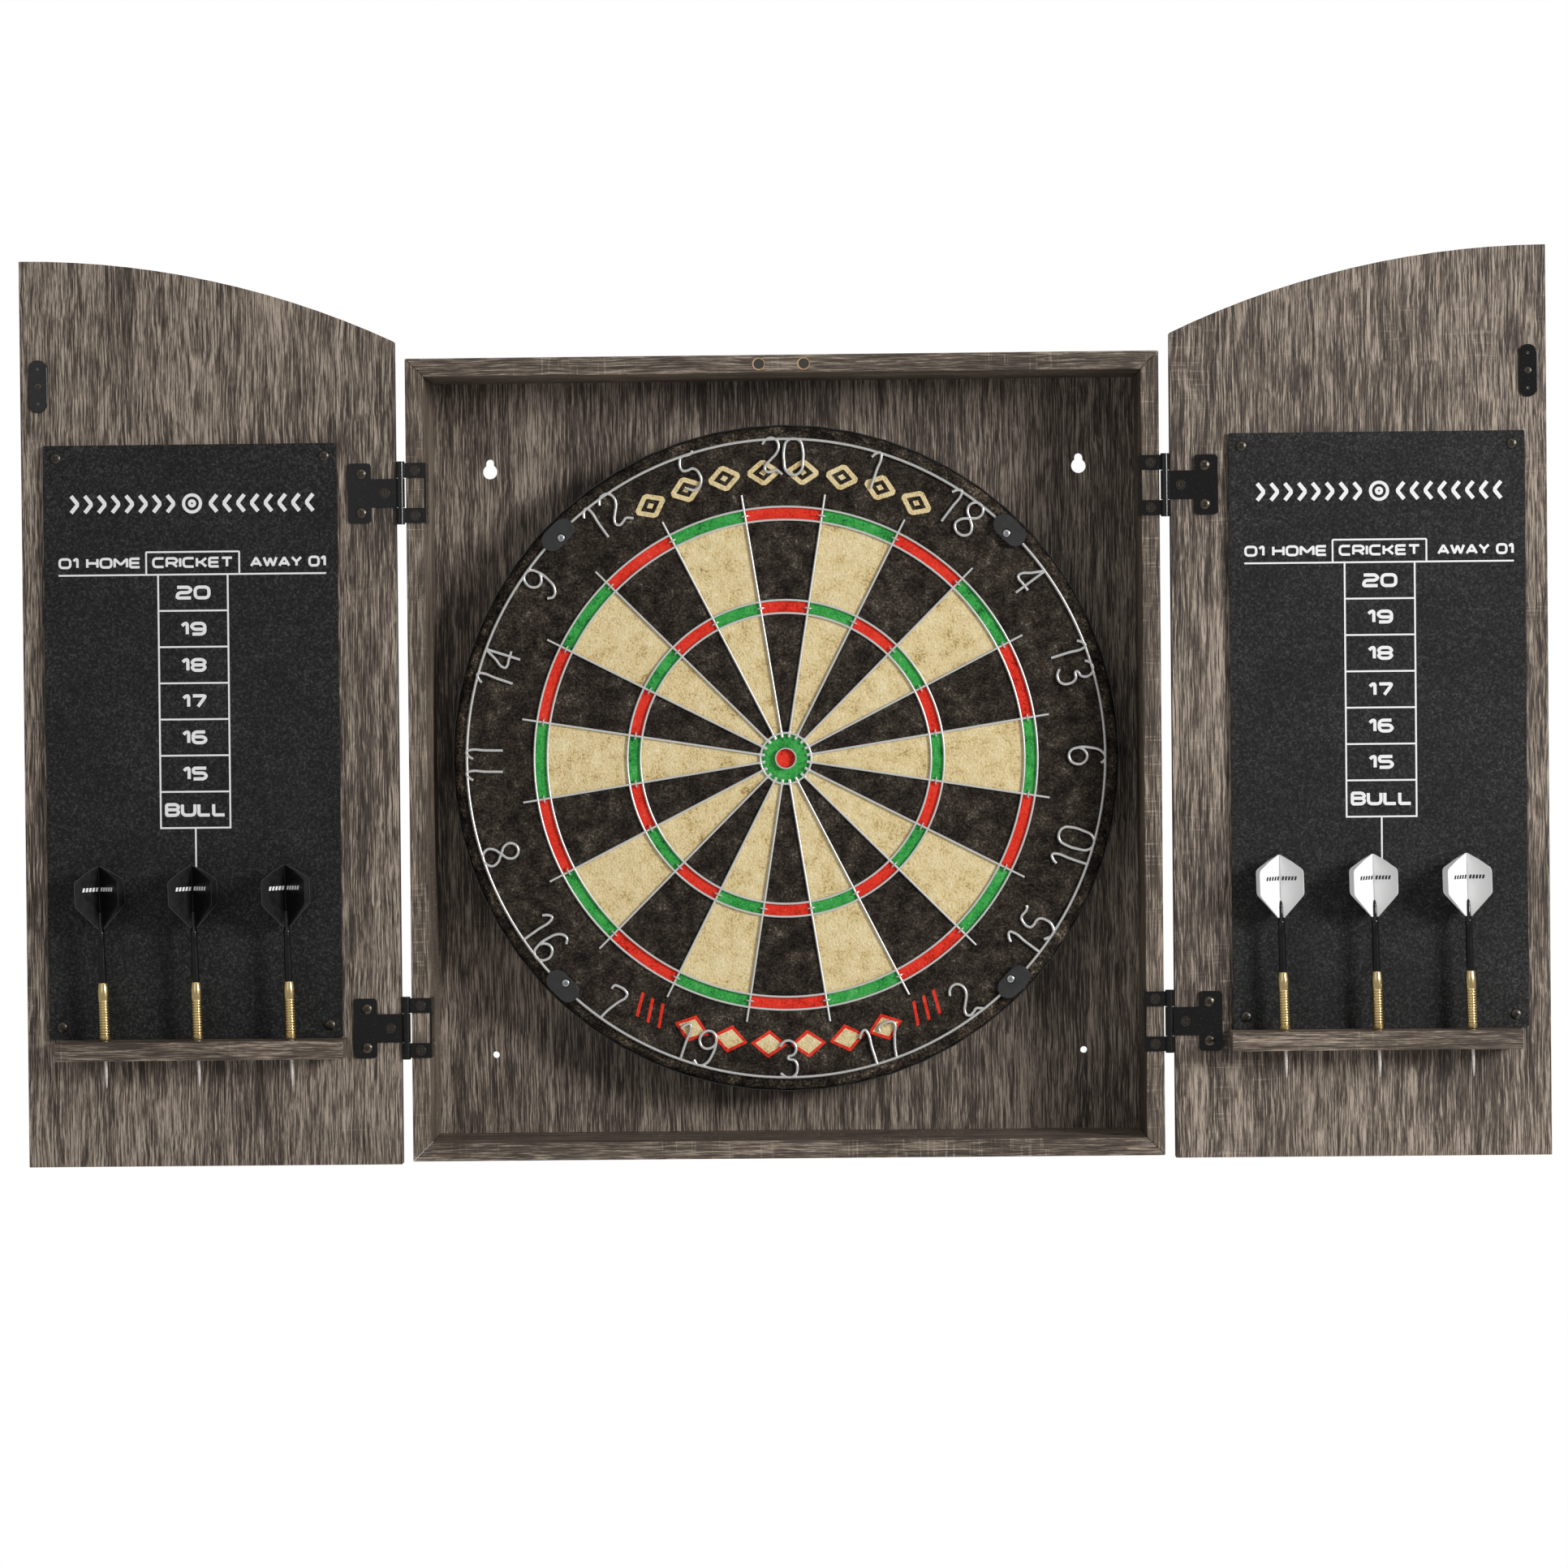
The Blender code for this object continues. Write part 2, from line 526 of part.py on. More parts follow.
# ---------------------------------------------------------------- dartboard
def build_board_core(finishes):
    """Hanger screw, backing disc, sisal disc, steel band and the rubber pads behind."""
    neck_end = BOARD_BACK + HANGER_DEPTH_IN_BOARD
    head_front = STRAP_BACK - CLEARANCE
    head_back = head_front - HANGER_HEAD_THICKNESS
    screw = turned([(0, head_back), (HANGER_HEAD_RADIUS, head_back), (HANGER_HEAD_RADIUS, head_front),
                    (HANGER_NECK_RADIUS, head_front), (HANGER_NECK_RADIUS, neck_end), (0, neck_end)],
                   SMALL_FACETS)
    make_object("board_hanger_screw", face_viewer(screw), finishes["bare_steel"])

    bore = HANGER_NECK_RADIUS + CLEARANCE
    backing = turned([(bore, BOARD_BACK), (FILL_RADIUS, BOARD_BACK), (FILL_RADIUS, BACKING_FRONT),
                      (0, BACKING_FRONT), (0, neck_end + CLEARANCE), (bore, neck_end + CLEARANCE),
                      (bore, BOARD_BACK)], BOARD_FACETS)
    make_object("board_backing", face_viewer(backing), finishes["backing"])

    edge = SISAL_EDGE_RADIUS
    rounding = [(FILL_RADIUS - edge + edge * math.cos(angle), BOARD_FACE - edge + edge * math.sin(angle))
                for angle in (math.radians(30 * step) for step in range(4))]
    sisal = turned([(0, SISAL_BACK), (FILL_RADIUS, SISAL_BACK), *rounding, (0, BOARD_FACE)], BOARD_FACETS)
    make_object("board_sisal", face_viewer(sisal), finishes["sisal"])

    inner = BOARD_RADIUS - BAND_THICKNESS
    back = BOARD_BACK + BAND_BACK_SETBACK
    front = BOARD_FACE - BAND_FRONT_SETBACK
    band = turned([(inner, back), (BOARD_RADIUS, back), (BOARD_RADIUS, front), (inner, front)],
                  BOARD_FACETS, ring=True)
    make_object("board_band", face_viewer(band), finishes["band"])

    for index in range(PAD_COUNT):
        angle = math.radians(90) + index * 2 * math.pi / PAD_COUNT
        pad = face_viewer(rod(PAD_RADIUS, PAD_BACK, PAD_BACK + PAD_THICKNESS, ROUND_FACETS))
        made = make_object(f"board_pad_{index + 1}", pad, finishes["rubber"])
        made.location = (PAD_CIRCLE_RADIUS * math.cos(angle), 0, PAD_CIRCLE_RADIUS * math.sin(angle))


def wire_web():
    """Flat outline of the scoring wires: five rings crossed by twenty spokes."""
    half = WIRE_WIDTH / 2
    rings = [OUTER_BULL_WIRE, TREBLE_OUTER_WIRE - BED_WIDTH, TREBLE_OUTER_WIRE,
             DOUBLE_OUTER_WIRE - BED_WIDTH, DOUBLE_OUTER_WIRE]
    levels = [OUTER_BULL_WIRE - SPOKE_INSIDE_BULL_WIRE]
    for radius in rings:
        levels += [radius - half, radius + half]
    levels.append(DOUBLE_OUTER_WIRE + SPOKE_PAST_DOUBLE)
    bm = bmesh.new()
    spokes = []
    for index in range(SECTORS):
        angle = (index + 0.5) * SECTOR_ANGLE
        along = Vector((math.cos(angle), 0, math.sin(angle)))
        across = Vector((-math.sin(angle), 0, math.cos(angle)))
        edges = []
        for side in (-half, half):
            reaches = [math.sqrt(level ** 2 - half ** 2) for level in levels]
            edges.append([bm.verts.new(along * reach + across * side) for reach in reaches])
        spokes.append(edges)
        for step in range(len(levels) - 1):
            bm.faces.new((edges[0][step], edges[0][step + 1], edges[1][step + 1], edges[1][step]))
    for index in range(SECTORS):
        following = spokes[(index + 1) % SECTORS][0]
        leading = spokes[index][1]
        for ring_index in range(len(rings)):
            add_ring_arc(bm, leading, following, levels, 1 + 2 * ring_index, (index + 1) * SECTOR_ANGLE)
    return bm


def add_ring_arc(bm, leading, following, levels, level, middle_angle):
    """One ring's stretch of wire between two spokes, bent round the bull."""
    rows = []
    for offset in (0, 1):
        radius = levels[level + offset]
        spoke_half_angle = math.asin(WIRE_WIDTH / 2 / radius)
        sweep = SECTOR_ANGLE - 2 * spoke_half_angle
        row = [leading[level + offset]]
        for step in range(1, WIRE_STEPS_PER_SECTOR):
            angle = middle_angle - sweep / 2 + sweep * step / WIRE_STEPS_PER_SECTOR
            row.append(bm.verts.new((radius * math.cos(angle), 0, radius * math.sin(angle))))
        row.append(following[level + offset])
        rows.append(row)
    for step in range(WIRE_STEPS_PER_SECTOR):
        bm.faces.new((rows[0][step], rows[1][step], rows[1][step + 1], rows[0][step + 1]))


def build_wires(finishes):
    """The scoring wires and the raised ring round the inner bull."""
    bm = wire_web()
    bmesh.ops.translate(bm, vec=(0, -WIRE_BACK, 0), verts=bm.verts)
    grown = bmesh.ops.extrude_face_region(bm, geom=bm.faces[:])["geom"]
    raised = [item for item in grown if isinstance(item, bmesh.types.BMVert)]
    bmesh.ops.translate(bm, vec=(0, -WIRE_WIDTH, 0), verts=raised)
    make_object("spider_wire", bm, finishes["wire_steel"])

    front = WIRE_BACK + BULL_RING_HEIGHT
    ring = turned([(BULL_RING_INNER, WIRE_BACK), (BULL_RING_OUTER, WIRE_BACK),
                   (BULL_RING_OUTER, front), (BULL_RING_INNER, front)], BULL_FACETS, ring=True)
    make_object("bull_ring", face_viewer(ring), finishes["wire_steel"])


# Clockwise from the top of the board.
NUMBERS = (20, 1, 18, 4, 13, 6, 10, 15, 2, 17, 3, 19, 7, 16, 8, 11, 14, 9, 12, 5)
TOPS_INWARD = (10, 15, 2, 17, 3, 19, 7, 16, 8)
# Straight strokes of each digit in a cell one wide and two high.
STROKES = {
    "top": ((0, 2), (1, 2)),
    "middle": ((0, 1), (1, 1)),
    "bottom": ((0, 0), (1, 0)),
    "left": ((0, 0), (0, 2)),
    "upper_left": ((0, 1), (0, 2)),
    "lower_left": ((0, 0), (0, 1)),
    "right": ((1, 0), (1, 2)),
    "upper_right": ((1, 1), (1, 2)),
    "lower_right": ((1, 0), (1, 1)),
    "stem": ((0.5, 0), (0.5, 2)),
}
DIGIT_STROKES = {
    "0": ("top", "left", "right", "bottom"),
    "1": ("stem",),
    "2": ("top", "upper_right", "middle", "lower_left", "bottom"),
    "3": ("top", "middle", "right", "bottom"),
    "4": ("upper_left", "middle", "right"),
    "5": ("top", "upper_left", "middle", "lower_right", "bottom"),
    "6": ("top", "left", "middle", "lower_right", "bottom"),
    "7": ("top", "right"),
    "8": ("top", "left", "middle", "right", "bottom"),
    "9": ("top", "upper_left", "middle", "right", "bottom"),
}


def wire_number(number):
    """Straight wire strokes of one number, standing on Z = 0 and centred on X = 0."""
    digits = str(number)
    pitch = NUMBER_DIGIT_WIDTH + NUMBER_DIGIT_GAP
    half = NUMBER_STROKE / 2
    shapes = []
    for place, digit in enumerate(digits):
        left = (place - (len(digits) - 1) / 2) * pitch - NUMBER_DIGIT_WIDTH / 2
        for stroke in DIGIT_STROKES[digit]:
            ends = [(left + x * NUMBER_DIGIT_WIDTH, z * NUMBER_HEIGHT / 2) for x, z in STROKES[stroke]]
            shapes.append(block((ends[0][0] - half, -half, ends[0][1] - half),
                                (ends[1][0] + half, half, ends[1][1] + half)))
    return together(shapes)


def build_number_ring(finishes):
    """Wire ring with twenty numbers welded inside it."""
    half = NUMBER_WIRE_DIAMETER / 2
    middle = WIRE_BACK + half
    profile = [(NUMBER_RING_RADIUS + half * math.cos(angle), middle + half * math.sin(angle))
               for angle in (2 * math.pi * step / RING_WIRE_FACETS for step in range(RING_WIRE_FACETS))]
    ring = make_object("number_ring", face_viewer(turned(profile, BOARD_FACETS, ring=True)),
                       finishes["wire_steel"])
    shapes = []
    for index, number in enumerate(NUMBERS):
        angle = math.radians(90) - index * SECTOR_ANGLE
        shape = wire_number(number)
        if number in TOPS_INWARD:
            lift = -NUMBER_RING_RADIUS
            turn = -angle - math.radians(90)
        else:
            lift = NUMBER_RING_RADIUS - NUMBER_HEIGHT
            turn = math.radians(90) - angle
        moved(shape, 0, -middle, lift)
        bmesh.ops.rotate(shape, cent=(0, 0, 0), verts=shape.verts, matrix=Matrix.Rotation(turn, 3, "Y"))
        shapes.append(shape)
    combine(ring, "ring_numbers", together(shapes), "UNION").use_self = True
    tidy_flats(ring)


def build_ring_clips(finishes):
    """Four clips on the diagonals; each turns about its screw to let the ring go."""
    for index in range(4):
        angle = math.radians(45 + 90 * index)
        pivot = NUMBER_RING_RADIUS - CLIP_SCREW_INWARD
        outline = [(x + CLIP_SCREW_INWARD, z) for x, z in obround(CLIP_LENGTH, CLIP_WIDTH)]
        plate = extruded(outline, -CLIP_BACK - CLIP_THICKNESS, -CLIP_BACK, "Y")
        clip = make_object(f"ring_clip_{index + 1}", plate, finishes["clip"])
        ease_edges(clip, CLIP_EDGE_EASING)
        front = CLIP_BACK + CLIP_THICKNESS
        recess = face_viewer(rod(CLIP_RECESS_RADIUS, front - CLIP_RECESS_DEPTH, front + CLEARANCE,
                                 BORE_FACETS))
        combine(clip, f"clip_recess_{index + 1}", recess, "DIFFERENCE")
        hole = face_viewer(rod(CLIP_HOLE_RADIUS, CLIP_BACK - CLEARANCE, front))
        combine(clip, f"clip_hole_{index + 1}", hole, "DIFFERENCE")
        clip.location = (pivot * math.cos(angle), 0, pivot * math.sin(angle))
        clip.rotation_euler = (0, -angle, 0)


# ---------------------------------------------------------------- doors
def sided(outline, side):
    """Mirror an outline for the left door."""
    return [(side * along, height) for along, height in outline]


def door_outline():
    """Door from the hinge side to the free edge, with an arched top level at that edge."""
    width = DOOR_END - DOOR_START
    radius = (width ** 2 + DOOR_ARCH_RISE ** 2) / (2 * DOOR_ARCH_RISE)
    sweep = math.asin(width / radius)
    outline = [(DOOR_START, DOOR_BOTTOM), (DOOR_END, DOOR_BOTTOM)]
    for step in range(ARCH_STEPS + 1):
        angle = sweep * step / ARCH_STEPS
        outline.append((DOOR_END - radius * math.sin(angle), DOOR_APEX - radius * (1 - math.cos(angle))))
    return outline


def build_door(side_name, side, hinge_line, finishes):
    """Door board, scoreboard, dart holder and strike plate on one hinge line."""
    slab = extruded(sided(door_outline(), side), DOOR_INNER_FACE, DOOR_OUTER_FACE, "Y")
    door = make_object(f"door_{side_name}", slab, finishes["laminate"], hinge_line)
    ease_edges(door, BOARD_EDGE_EASING)

    outline = rounded_rectangle(SCOREBOARD_START, SCOREBOARD_END, SCOREBOARD_BOTTOM, SCOREBOARD_TOP,
                                SCOREBOARD_CORNER)
    front = ON_DOOR - SCOREBOARD_THICKNESS
    board = make_object(f"scoreboard_{side_name}", extruded(sided(outline, side), front, ON_DOOR, "Y"),
                        finishes["black_board"], hinge_line)
    inset = SCOREBOARD_SCREW_INSET
    holes = []
    for along in (SCOREBOARD_START + inset, SCOREBOARD_END - inset):
        for height in (SCOREBOARD_BOTTOM + inset, SCOREBOARD_TOP - inset):
            hole = face_viewer(rod(SCOREBOARD_HOLE_RADIUS, -ON_DOOR - CLEARANCE, -front + CLEARANCE))
            holes.append(moved(hole, side * along, 0, height))
    combine(board, f"scoreboard_holes_{side_name}", together(holes), "DIFFERENCE")

    front = ON_DOOR - HOLDER_DEPTH
    outline = [(HOLDER_START, front), (HOLDER_END, front), (HOLDER_END, ON_DOOR), (HOLDER_START, ON_DOOR)]
    shelf = extruded(sided(outline, side), HOLDER_BOTTOM, HOLDER_TOP, "Z")
    holder = make_object(f"dart_holder_{side_name}", shelf, finishes["laminate"], hinge_line)
    ease_edges(holder, BOARD_EDGE_EASING)
    holes = []
    for along in dart_places():
        hole = rod(DART_HOLE_RADIUS, HOLDER_BOTTOM - CLEARANCE, HOLDER_TOP + CLEARANCE, DART_FACETS)
        holes.append(moved(hole, side * along, DOOR_INNER_FACE - DART_AXIS_FROM_DOOR, 0))
    combine(holder, f"dart_holes_{side_name}", together(holes), "DIFFERENCE")

    front = ON_DOOR - STRIKE_THICKNESS
    plate = extruded(obround(STRIKE_LENGTH, STRIKE_WIDTH), front, ON_DOOR, "Y")
    strike = make_object(f"strike_plate_{side_name}", plate, finishes["hinge_black"], hinge_line)
    ease_edges(strike, STRIKE_EDGE_EASING)
    hole = face_viewer(rod(STRIKE_HOLE_RADIUS, -ON_DOOR - CLEARANCE, -front + CLEARANCE))
    combine(strike, f"strike_hole_{side_name}", hole, "DIFFERENCE")
    strike.location = (side * (DOOR_END - STRIKE_FROM_FREE_EDGE), 0, FRAME_TOP - STRIKE_BELOW_FRAME_TOP)


def dart_places():
    """Distances of the dart holes from the hinge axis, nearest first."""
    first = HOLDER_MIDDLE + DART_HOLES_OFF_MIDDLE - DART_SPACING * (DARTS_PER_DOOR - 1) / 2
    return [first + DART_SPACING * index for index in range(DARTS_PER_DOOR)]


# ---------------------------------------------------------------- hinges
def knuckle(height):
    """One rolled knuckle about Z, open for the pin."""
    half = height / 2
    return turned([(PIN_HOLE_RADIUS, -half), (BARREL_RADIUS, -half), (BARREL_RADIUS, half),
                   (PIN_HOLE_RADIUS, half)], SMALL_FACETS, ring=True)


def leaf_holes(places):
    """Screw holes through a leaf that lies flat against a board's face."""
    reach = LEAF_THICKNESS / 2 + CLEARANCE
    return together([moved(face_viewer(rod(LEAF_SCREW_HOLE_RADIUS, -reach, reach)), x, 0, z)
                     for x, z in places])


def build_door_leaf(name, side, seat, finishes):
    """T-shaped leaf: a neck from the middle knuckle to a crossbar on the door."""
    half_leaf = LEAF_THICKNESS / 2
    root = (PIN_HOLE_RADIUS + BARREL_RADIUS) / 2
    neck = NECK_HEIGHT / 2
    bar = rounded_rectangle(CROSSBAR_START, CROSSBAR_END, -CROSSBAR_HEIGHT / 2, CROSSBAR_HEIGHT / 2,
                            CROSSBAR_CORNER)
    split = next(index for index in range(len(bar)) if bar[index][0] < CROSSBAR_START + TOUCH)
    outline = bar[:split + 1] + [(CROSSBAR_START, neck), (root, neck), (root, -neck),
                                 (CROSSBAR_START, -neck)] + bar[split + 1:]
    leaf = make_object(name, extruded(sided(outline, side), -half_leaf, half_leaf, "Y"),
                       finishes["hinge_black"], seat)
    combine(leaf, f"{name}_knuckle", knuckle(DOOR_KNUCKLE_HEIGHT), "UNION")
    bar_screws = side * ((CROSSBAR_START + CROSSBAR_END) / 2 - CROSSBAR_SCREWS_OFF_MIDDLE)
    spread = CROSSBAR_SCREW_SPREAD / 2
    places = [(bar_screws, spread), (bar_screws, -spread), (side * NECK_SCREW_FROM_AXIS, 0)]
    combine(leaf, f"{name}_holes", leaf_holes(places), "DIFFERENCE")


def build_frame_leaf(name, side, seat, finishes):
    """Leaf that wraps the side rail: two front tabs and a plate on the inner wall."""
    half_leaf = LEAF_THICKNESS / 2
    root = (PIN_HOLE_RADIUS + BARREL_RADIUS) / 2
    section = [(-root, -half_leaf), (-WALL_PLATE_FRONT, -half_leaf), (-WALL_PLATE_FRONT, INNER_PLATE_DEPTH),
               (-WALL_PLATE_BACK, INNER_PLATE_DEPTH), (-WALL_PLATE_BACK, half_leaf), (-root, half_leaf)]
    half_height = FRAME_LEAF_HEIGHT / 2
    leaf = make_object(name, extruded(sided(section, side), -half_height, half_height, "Z"),
                       finishes["hinge_black"], seat)
    window = half_height - TAB_HEIGHT
    near, far = sorted((0.0, -side * (WALL_PLATE_FRONT + CLEARANCE)))
    opening = block((near, -half_leaf - CLEARANCE, -window), (far, half_leaf + CLEARANCE, window))
    combine(leaf, f"{name}_window", opening, "DIFFERENCE")
    offset = (BARREL_HEIGHT - FRAME_KNUCKLE_HEIGHT) / 2
    knuckles = together([moved(knuckle(FRAME_KNUCKLE_HEIGHT), 0, 0, end * offset) for end in (-1, 1)])
    combine(leaf, f"{name}_knuckles", knuckles, "UNION")
    tab_middle = half_height - TAB_HEIGHT / 2
    places = [(-side * RAIL_MIDDLE_FROM_AXIS, end * tab_middle) for end in (-1, 1)]
    combine(leaf, f"{name}_tab_holes", leaf_holes(places), "DIFFERENCE")
    inner_holes = leaf_holes([(0, INNER_SCREW_SPREAD / 2), (0, -INNER_SCREW_SPREAD / 2)])
    bmesh.ops.rotate(inner_holes, cent=(0, 0, 0), verts=inner_holes.verts,
                     matrix=Matrix.Rotation(math.radians(90), 3, "Z"))
    moved(inner_holes, -side * (WALL_PLATE_BACK + half_leaf), INNER_SCREW_DEPTH, 0)
    combine(leaf, f"{name}_inner_holes", inner_holes, "DIFFERENCE")


def build_hinge(side_name, side, level_name, height, hinge_line, finishes):
    """Frame leaf, door leaf and pin; only the door leaf turns with the door."""
    still = empty(f"hinge_{side_name}_{level_name}_seat", (side * HINGE_X, HINGE_Y, height))
    turning = empty(f"hinge_{side_name}_{level_name}_swing", (0, 0, height), hinge_line)
    build_frame_leaf(f"hinge_{side_name}_{level_name}_frame_leaf", side, still, finishes)
    build_door_leaf(f"hinge_{side_name}_{level_name}_door_leaf", side, turning, finishes)
    pin = rod(PIN_RADIUS, -BARREL_HEIGHT / 2, BARREL_HEIGHT / 2)
    make_object(f"hinge_{side_name}_{level_name}_pin", pin, finishes["bare_steel"], still)


# ---------------------------------------------------------------- darts
def dart_barrel():
    """Brass barrel with its steel point pressed in and a socket for the shaft."""
    tip = CLEARANCE - NOSE_LENGTH - POINT_LENGTH
    seat = CLEARANCE
    return turned([
        (0, tip), (POINT_RADIUS, tip + POINT_TAPER), (POINT_RADIUS, seat - NOSE_LENGTH),
        (NOSE_RADIUS - NOSE_TAPER, seat - NOSE_LENGTH), (NOSE_RADIUS, seat),
        (BARREL_BODY_RADIUS - BARREL_SHOULDER, seat), (BARREL_BODY_RADIUS, seat + BARREL_SHOULDER),
        (BARREL_BODY_RADIUS, BARREL_LENGTH - BARREL_TAIL_TAPER),
        (BARREL_TAIL_RADIUS, BARREL_LENGTH), (SOCKET_RADIUS, BARREL_LENGTH),
        (SOCKET_RADIUS, BARREL_LENGTH - SOCKET_DEPTH), (0, BARREL_LENGTH - SOCKET_DEPTH)], DART_FACETS)


def dart_shaft():
    """Nylon shaft: a stub in the barrel's socket and a stem for the flight."""
    stub = SOCKET_RADIUS - CLEARANCE
    start = BARREL_LENGTH - SOCKET_DEPTH + CLEARANCE
    shoulder = BARREL_LENGTH + CLEARANCE
    top = SHAFT_SLOT_BOTTOM + SHAFT_PRONG_LENGTH
    return turned([(0, start), (stub, start), (stub, shoulder), (SHAFT_RADIUS, shoulder),
                   (SHAFT_RADIUS, top), (0, top)], DART_FACETS)


def flight():
    """Four wings of film: a pointed head, straight sides and a tapering foot."""
    side_top = FLIGHT_FOOT + FLIGHT_SIDE_END
    levels = [(FLIGHT_FOOT, FLIGHT_FOOT_HALF_WIDTH), (FLIGHT_FOOT + FLIGHT_SIDE_START, FLIGHT_HALF_SPAN),
              (side_top - FLIGHT_CORNER, FLIGHT_HALF_SPAN), (side_top, FLIGHT_HALF_SPAN - FLIGHT_CORNER),
              (FLIGHT_FOOT + FLIGHT_LENGTH, FLIGHT_HEAD_HALF_WIDTH)]
    half_film = FILM_THICKNESS / 2
    bm = bmesh.new()
    loops = []
    for height, reach in levels:
        loop = []
        for wing in range(4):
            turn = Matrix.Rotation(math.radians(45 + 90 * wing), 3, "Z")
            for along, across in ((reach, -half_film), (reach, half_film), (half_film, half_film)):
                loop.append(bm.verts.new(turn @ Vector((along, across, height))))
        loops.append(loop)
    for lower, upper in zip(loops, loops[1:]):
        for index in range(len(lower)):
            following = (index + 1) % len(lower)
            bm.faces.new((lower[index], lower[following], upper[following], upper[index]))
    bm.faces.new(loops[0])
    bm.faces.new(loops[-1])
    return bm


def quarter_turned(bm, degrees):
    """Turn a shape about its own long axis."""
    bmesh.ops.rotate(bm, cent=(0, 0, 0), verts=bm.verts,
                     matrix=Matrix.Rotation(math.radians(degrees), 3, "Z"))
    return bm


def build_dart(name, place, hinge_line, film, finishes):
    """Barrel, slotted shaft and four-winged flight on one leaning axis."""
    axis = empty(f"{name}_axis", place, hinge_line)
    axis.rotation_euler = (0, -DART_LEAN, 0)
    make_object(f"{name}_barrel", dart_barrel(), finishes["brass"], axis)
    shaft = make_object(f"{name}_shaft", dart_shaft(), finishes["nylon"], axis)
    half_slot = FILM_THICKNESS / 2 + CLEARANCE
    reach = 2 * SHAFT_RADIUS
    top = SHAFT_SLOT_BOTTOM + 2 * SHAFT_PRONG_LENGTH
    for degrees in (45, 135):
        slot = block((-reach, -half_slot, SHAFT_SLOT_BOTTOM), (reach, half_slot, top))
        combine(shaft, f"{name}_slot_{degrees}", quarter_turned(slot, degrees), "DIFFERENCE")
    make_object(f"{name}_flight", flight(), film, axis)


# ---------------------------------------------------------------- assembly
def build_cabinet():
    for leftover in list(bpy.data.objects):
        bpy.data.objects.remove(leftover, do_unlink=True)
    finishes = make_materials()
    build_frame(finishes)
    build_magnets(finishes)
    build_back_panel(finishes)
    build_board_bracket(finishes)
    build_board_core(finishes)
    build_wires(finishes)
    build_number_ring(finishes)
    build_ring_clips(finishes)
    for side_name, side, film in (("left", -1, "film_black"), ("right", 1, "film_white")):
        hinge_line = empty(f"door_{side_name}_hinge_line", (side * HINGE_X, HINGE_Y, 0))
        build_door(side_name, side, hinge_line, finishes)
        for level_name, height in HINGE_HEIGHTS.items():
            build_hinge(side_name, side, level_name, height, hinge_line, finishes)
        for index, along in enumerate(dart_places()):
            place = (side * along, DOOR_INNER_FACE - DART_AXIS_FROM_DOOR, HOLDER_TOP)
            build_dart(f"dart_{side_name}_{index + 1}", place, hinge_line, finishes[film], finishes)


build_cabinet()
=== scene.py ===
"""Looks of a wall-hung dartboard cabinet with both doors open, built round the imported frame."""

import json
import math

import bmesh
import bpy
from mathutils import Matrix, Vector


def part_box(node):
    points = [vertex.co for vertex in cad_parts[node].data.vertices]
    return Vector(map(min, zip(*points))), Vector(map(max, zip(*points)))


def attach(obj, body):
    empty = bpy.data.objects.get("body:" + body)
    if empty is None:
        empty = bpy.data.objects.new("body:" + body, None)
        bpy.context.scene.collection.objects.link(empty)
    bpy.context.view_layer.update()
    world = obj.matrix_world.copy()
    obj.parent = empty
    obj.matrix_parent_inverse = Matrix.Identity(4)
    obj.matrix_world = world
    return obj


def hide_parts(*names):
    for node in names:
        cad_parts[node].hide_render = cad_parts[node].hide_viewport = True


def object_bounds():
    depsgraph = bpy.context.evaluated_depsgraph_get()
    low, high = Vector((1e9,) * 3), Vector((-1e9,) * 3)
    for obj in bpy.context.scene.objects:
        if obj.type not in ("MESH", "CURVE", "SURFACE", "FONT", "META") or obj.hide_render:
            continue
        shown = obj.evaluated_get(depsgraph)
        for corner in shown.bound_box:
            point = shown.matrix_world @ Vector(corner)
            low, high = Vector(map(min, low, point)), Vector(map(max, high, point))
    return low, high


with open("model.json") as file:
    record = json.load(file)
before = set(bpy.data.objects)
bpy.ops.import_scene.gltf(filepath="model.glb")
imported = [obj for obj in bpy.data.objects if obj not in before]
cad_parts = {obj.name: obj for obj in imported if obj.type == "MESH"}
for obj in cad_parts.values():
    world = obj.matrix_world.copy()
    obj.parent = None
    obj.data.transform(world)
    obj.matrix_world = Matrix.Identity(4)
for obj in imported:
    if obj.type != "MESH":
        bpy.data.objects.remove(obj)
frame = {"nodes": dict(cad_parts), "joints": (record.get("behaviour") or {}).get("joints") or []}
cad_box = [list(corner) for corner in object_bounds()]
nodes = frame["nodes"]

MM = 0.001
SIDES = {"left": -1, "right": 1}

# Board sizes, as on every regulation board
SECTOR = math.radians(18)
INNER_BULL = 6.35 * MM
OUTER_BULL_WIRE = 17.2 * MM
TREBLE_WIRES = (98.2 * MM, 107 * MM)
DOUBLE_WIRES = (161.2 * MM, 170 * MM)
SPOKE_ENDS = (14.5 * MM, 180 * MM)
NUMBERS = (20, 1, 18, 4, 13, 6, 10, 15, 2, 17, 3, 19, 7, 16, 8, 11, 14, 9, 12, 5)
TOPS_INWARD = (10, 15, 2, 17, 3, 19, 7, 16, 8)

# Heights on a dart in millimetres, from the foot of its barrel
POINT_TIP = -31.7
BARREL_END = 39.0
FLIGHT_FOOT = 75.3
BARREL_RINGS = 13
RING_PITCH = 1.78
# Real film is about 0.15 mm; it is drawn thicker so that its cut edge shows.
FILM_THICKNESS = 0.36 * MM

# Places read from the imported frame
BOARD_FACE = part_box("board_sisal")[0].y
WIRE_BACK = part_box("spider_wire")[1].y
WIRE_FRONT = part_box("spider_wire")[0].y
RING_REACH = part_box("number_ring")[1].x
SISAL_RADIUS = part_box("board_sisal")[1].x
SISAL_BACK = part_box("board_sisal")[1].y


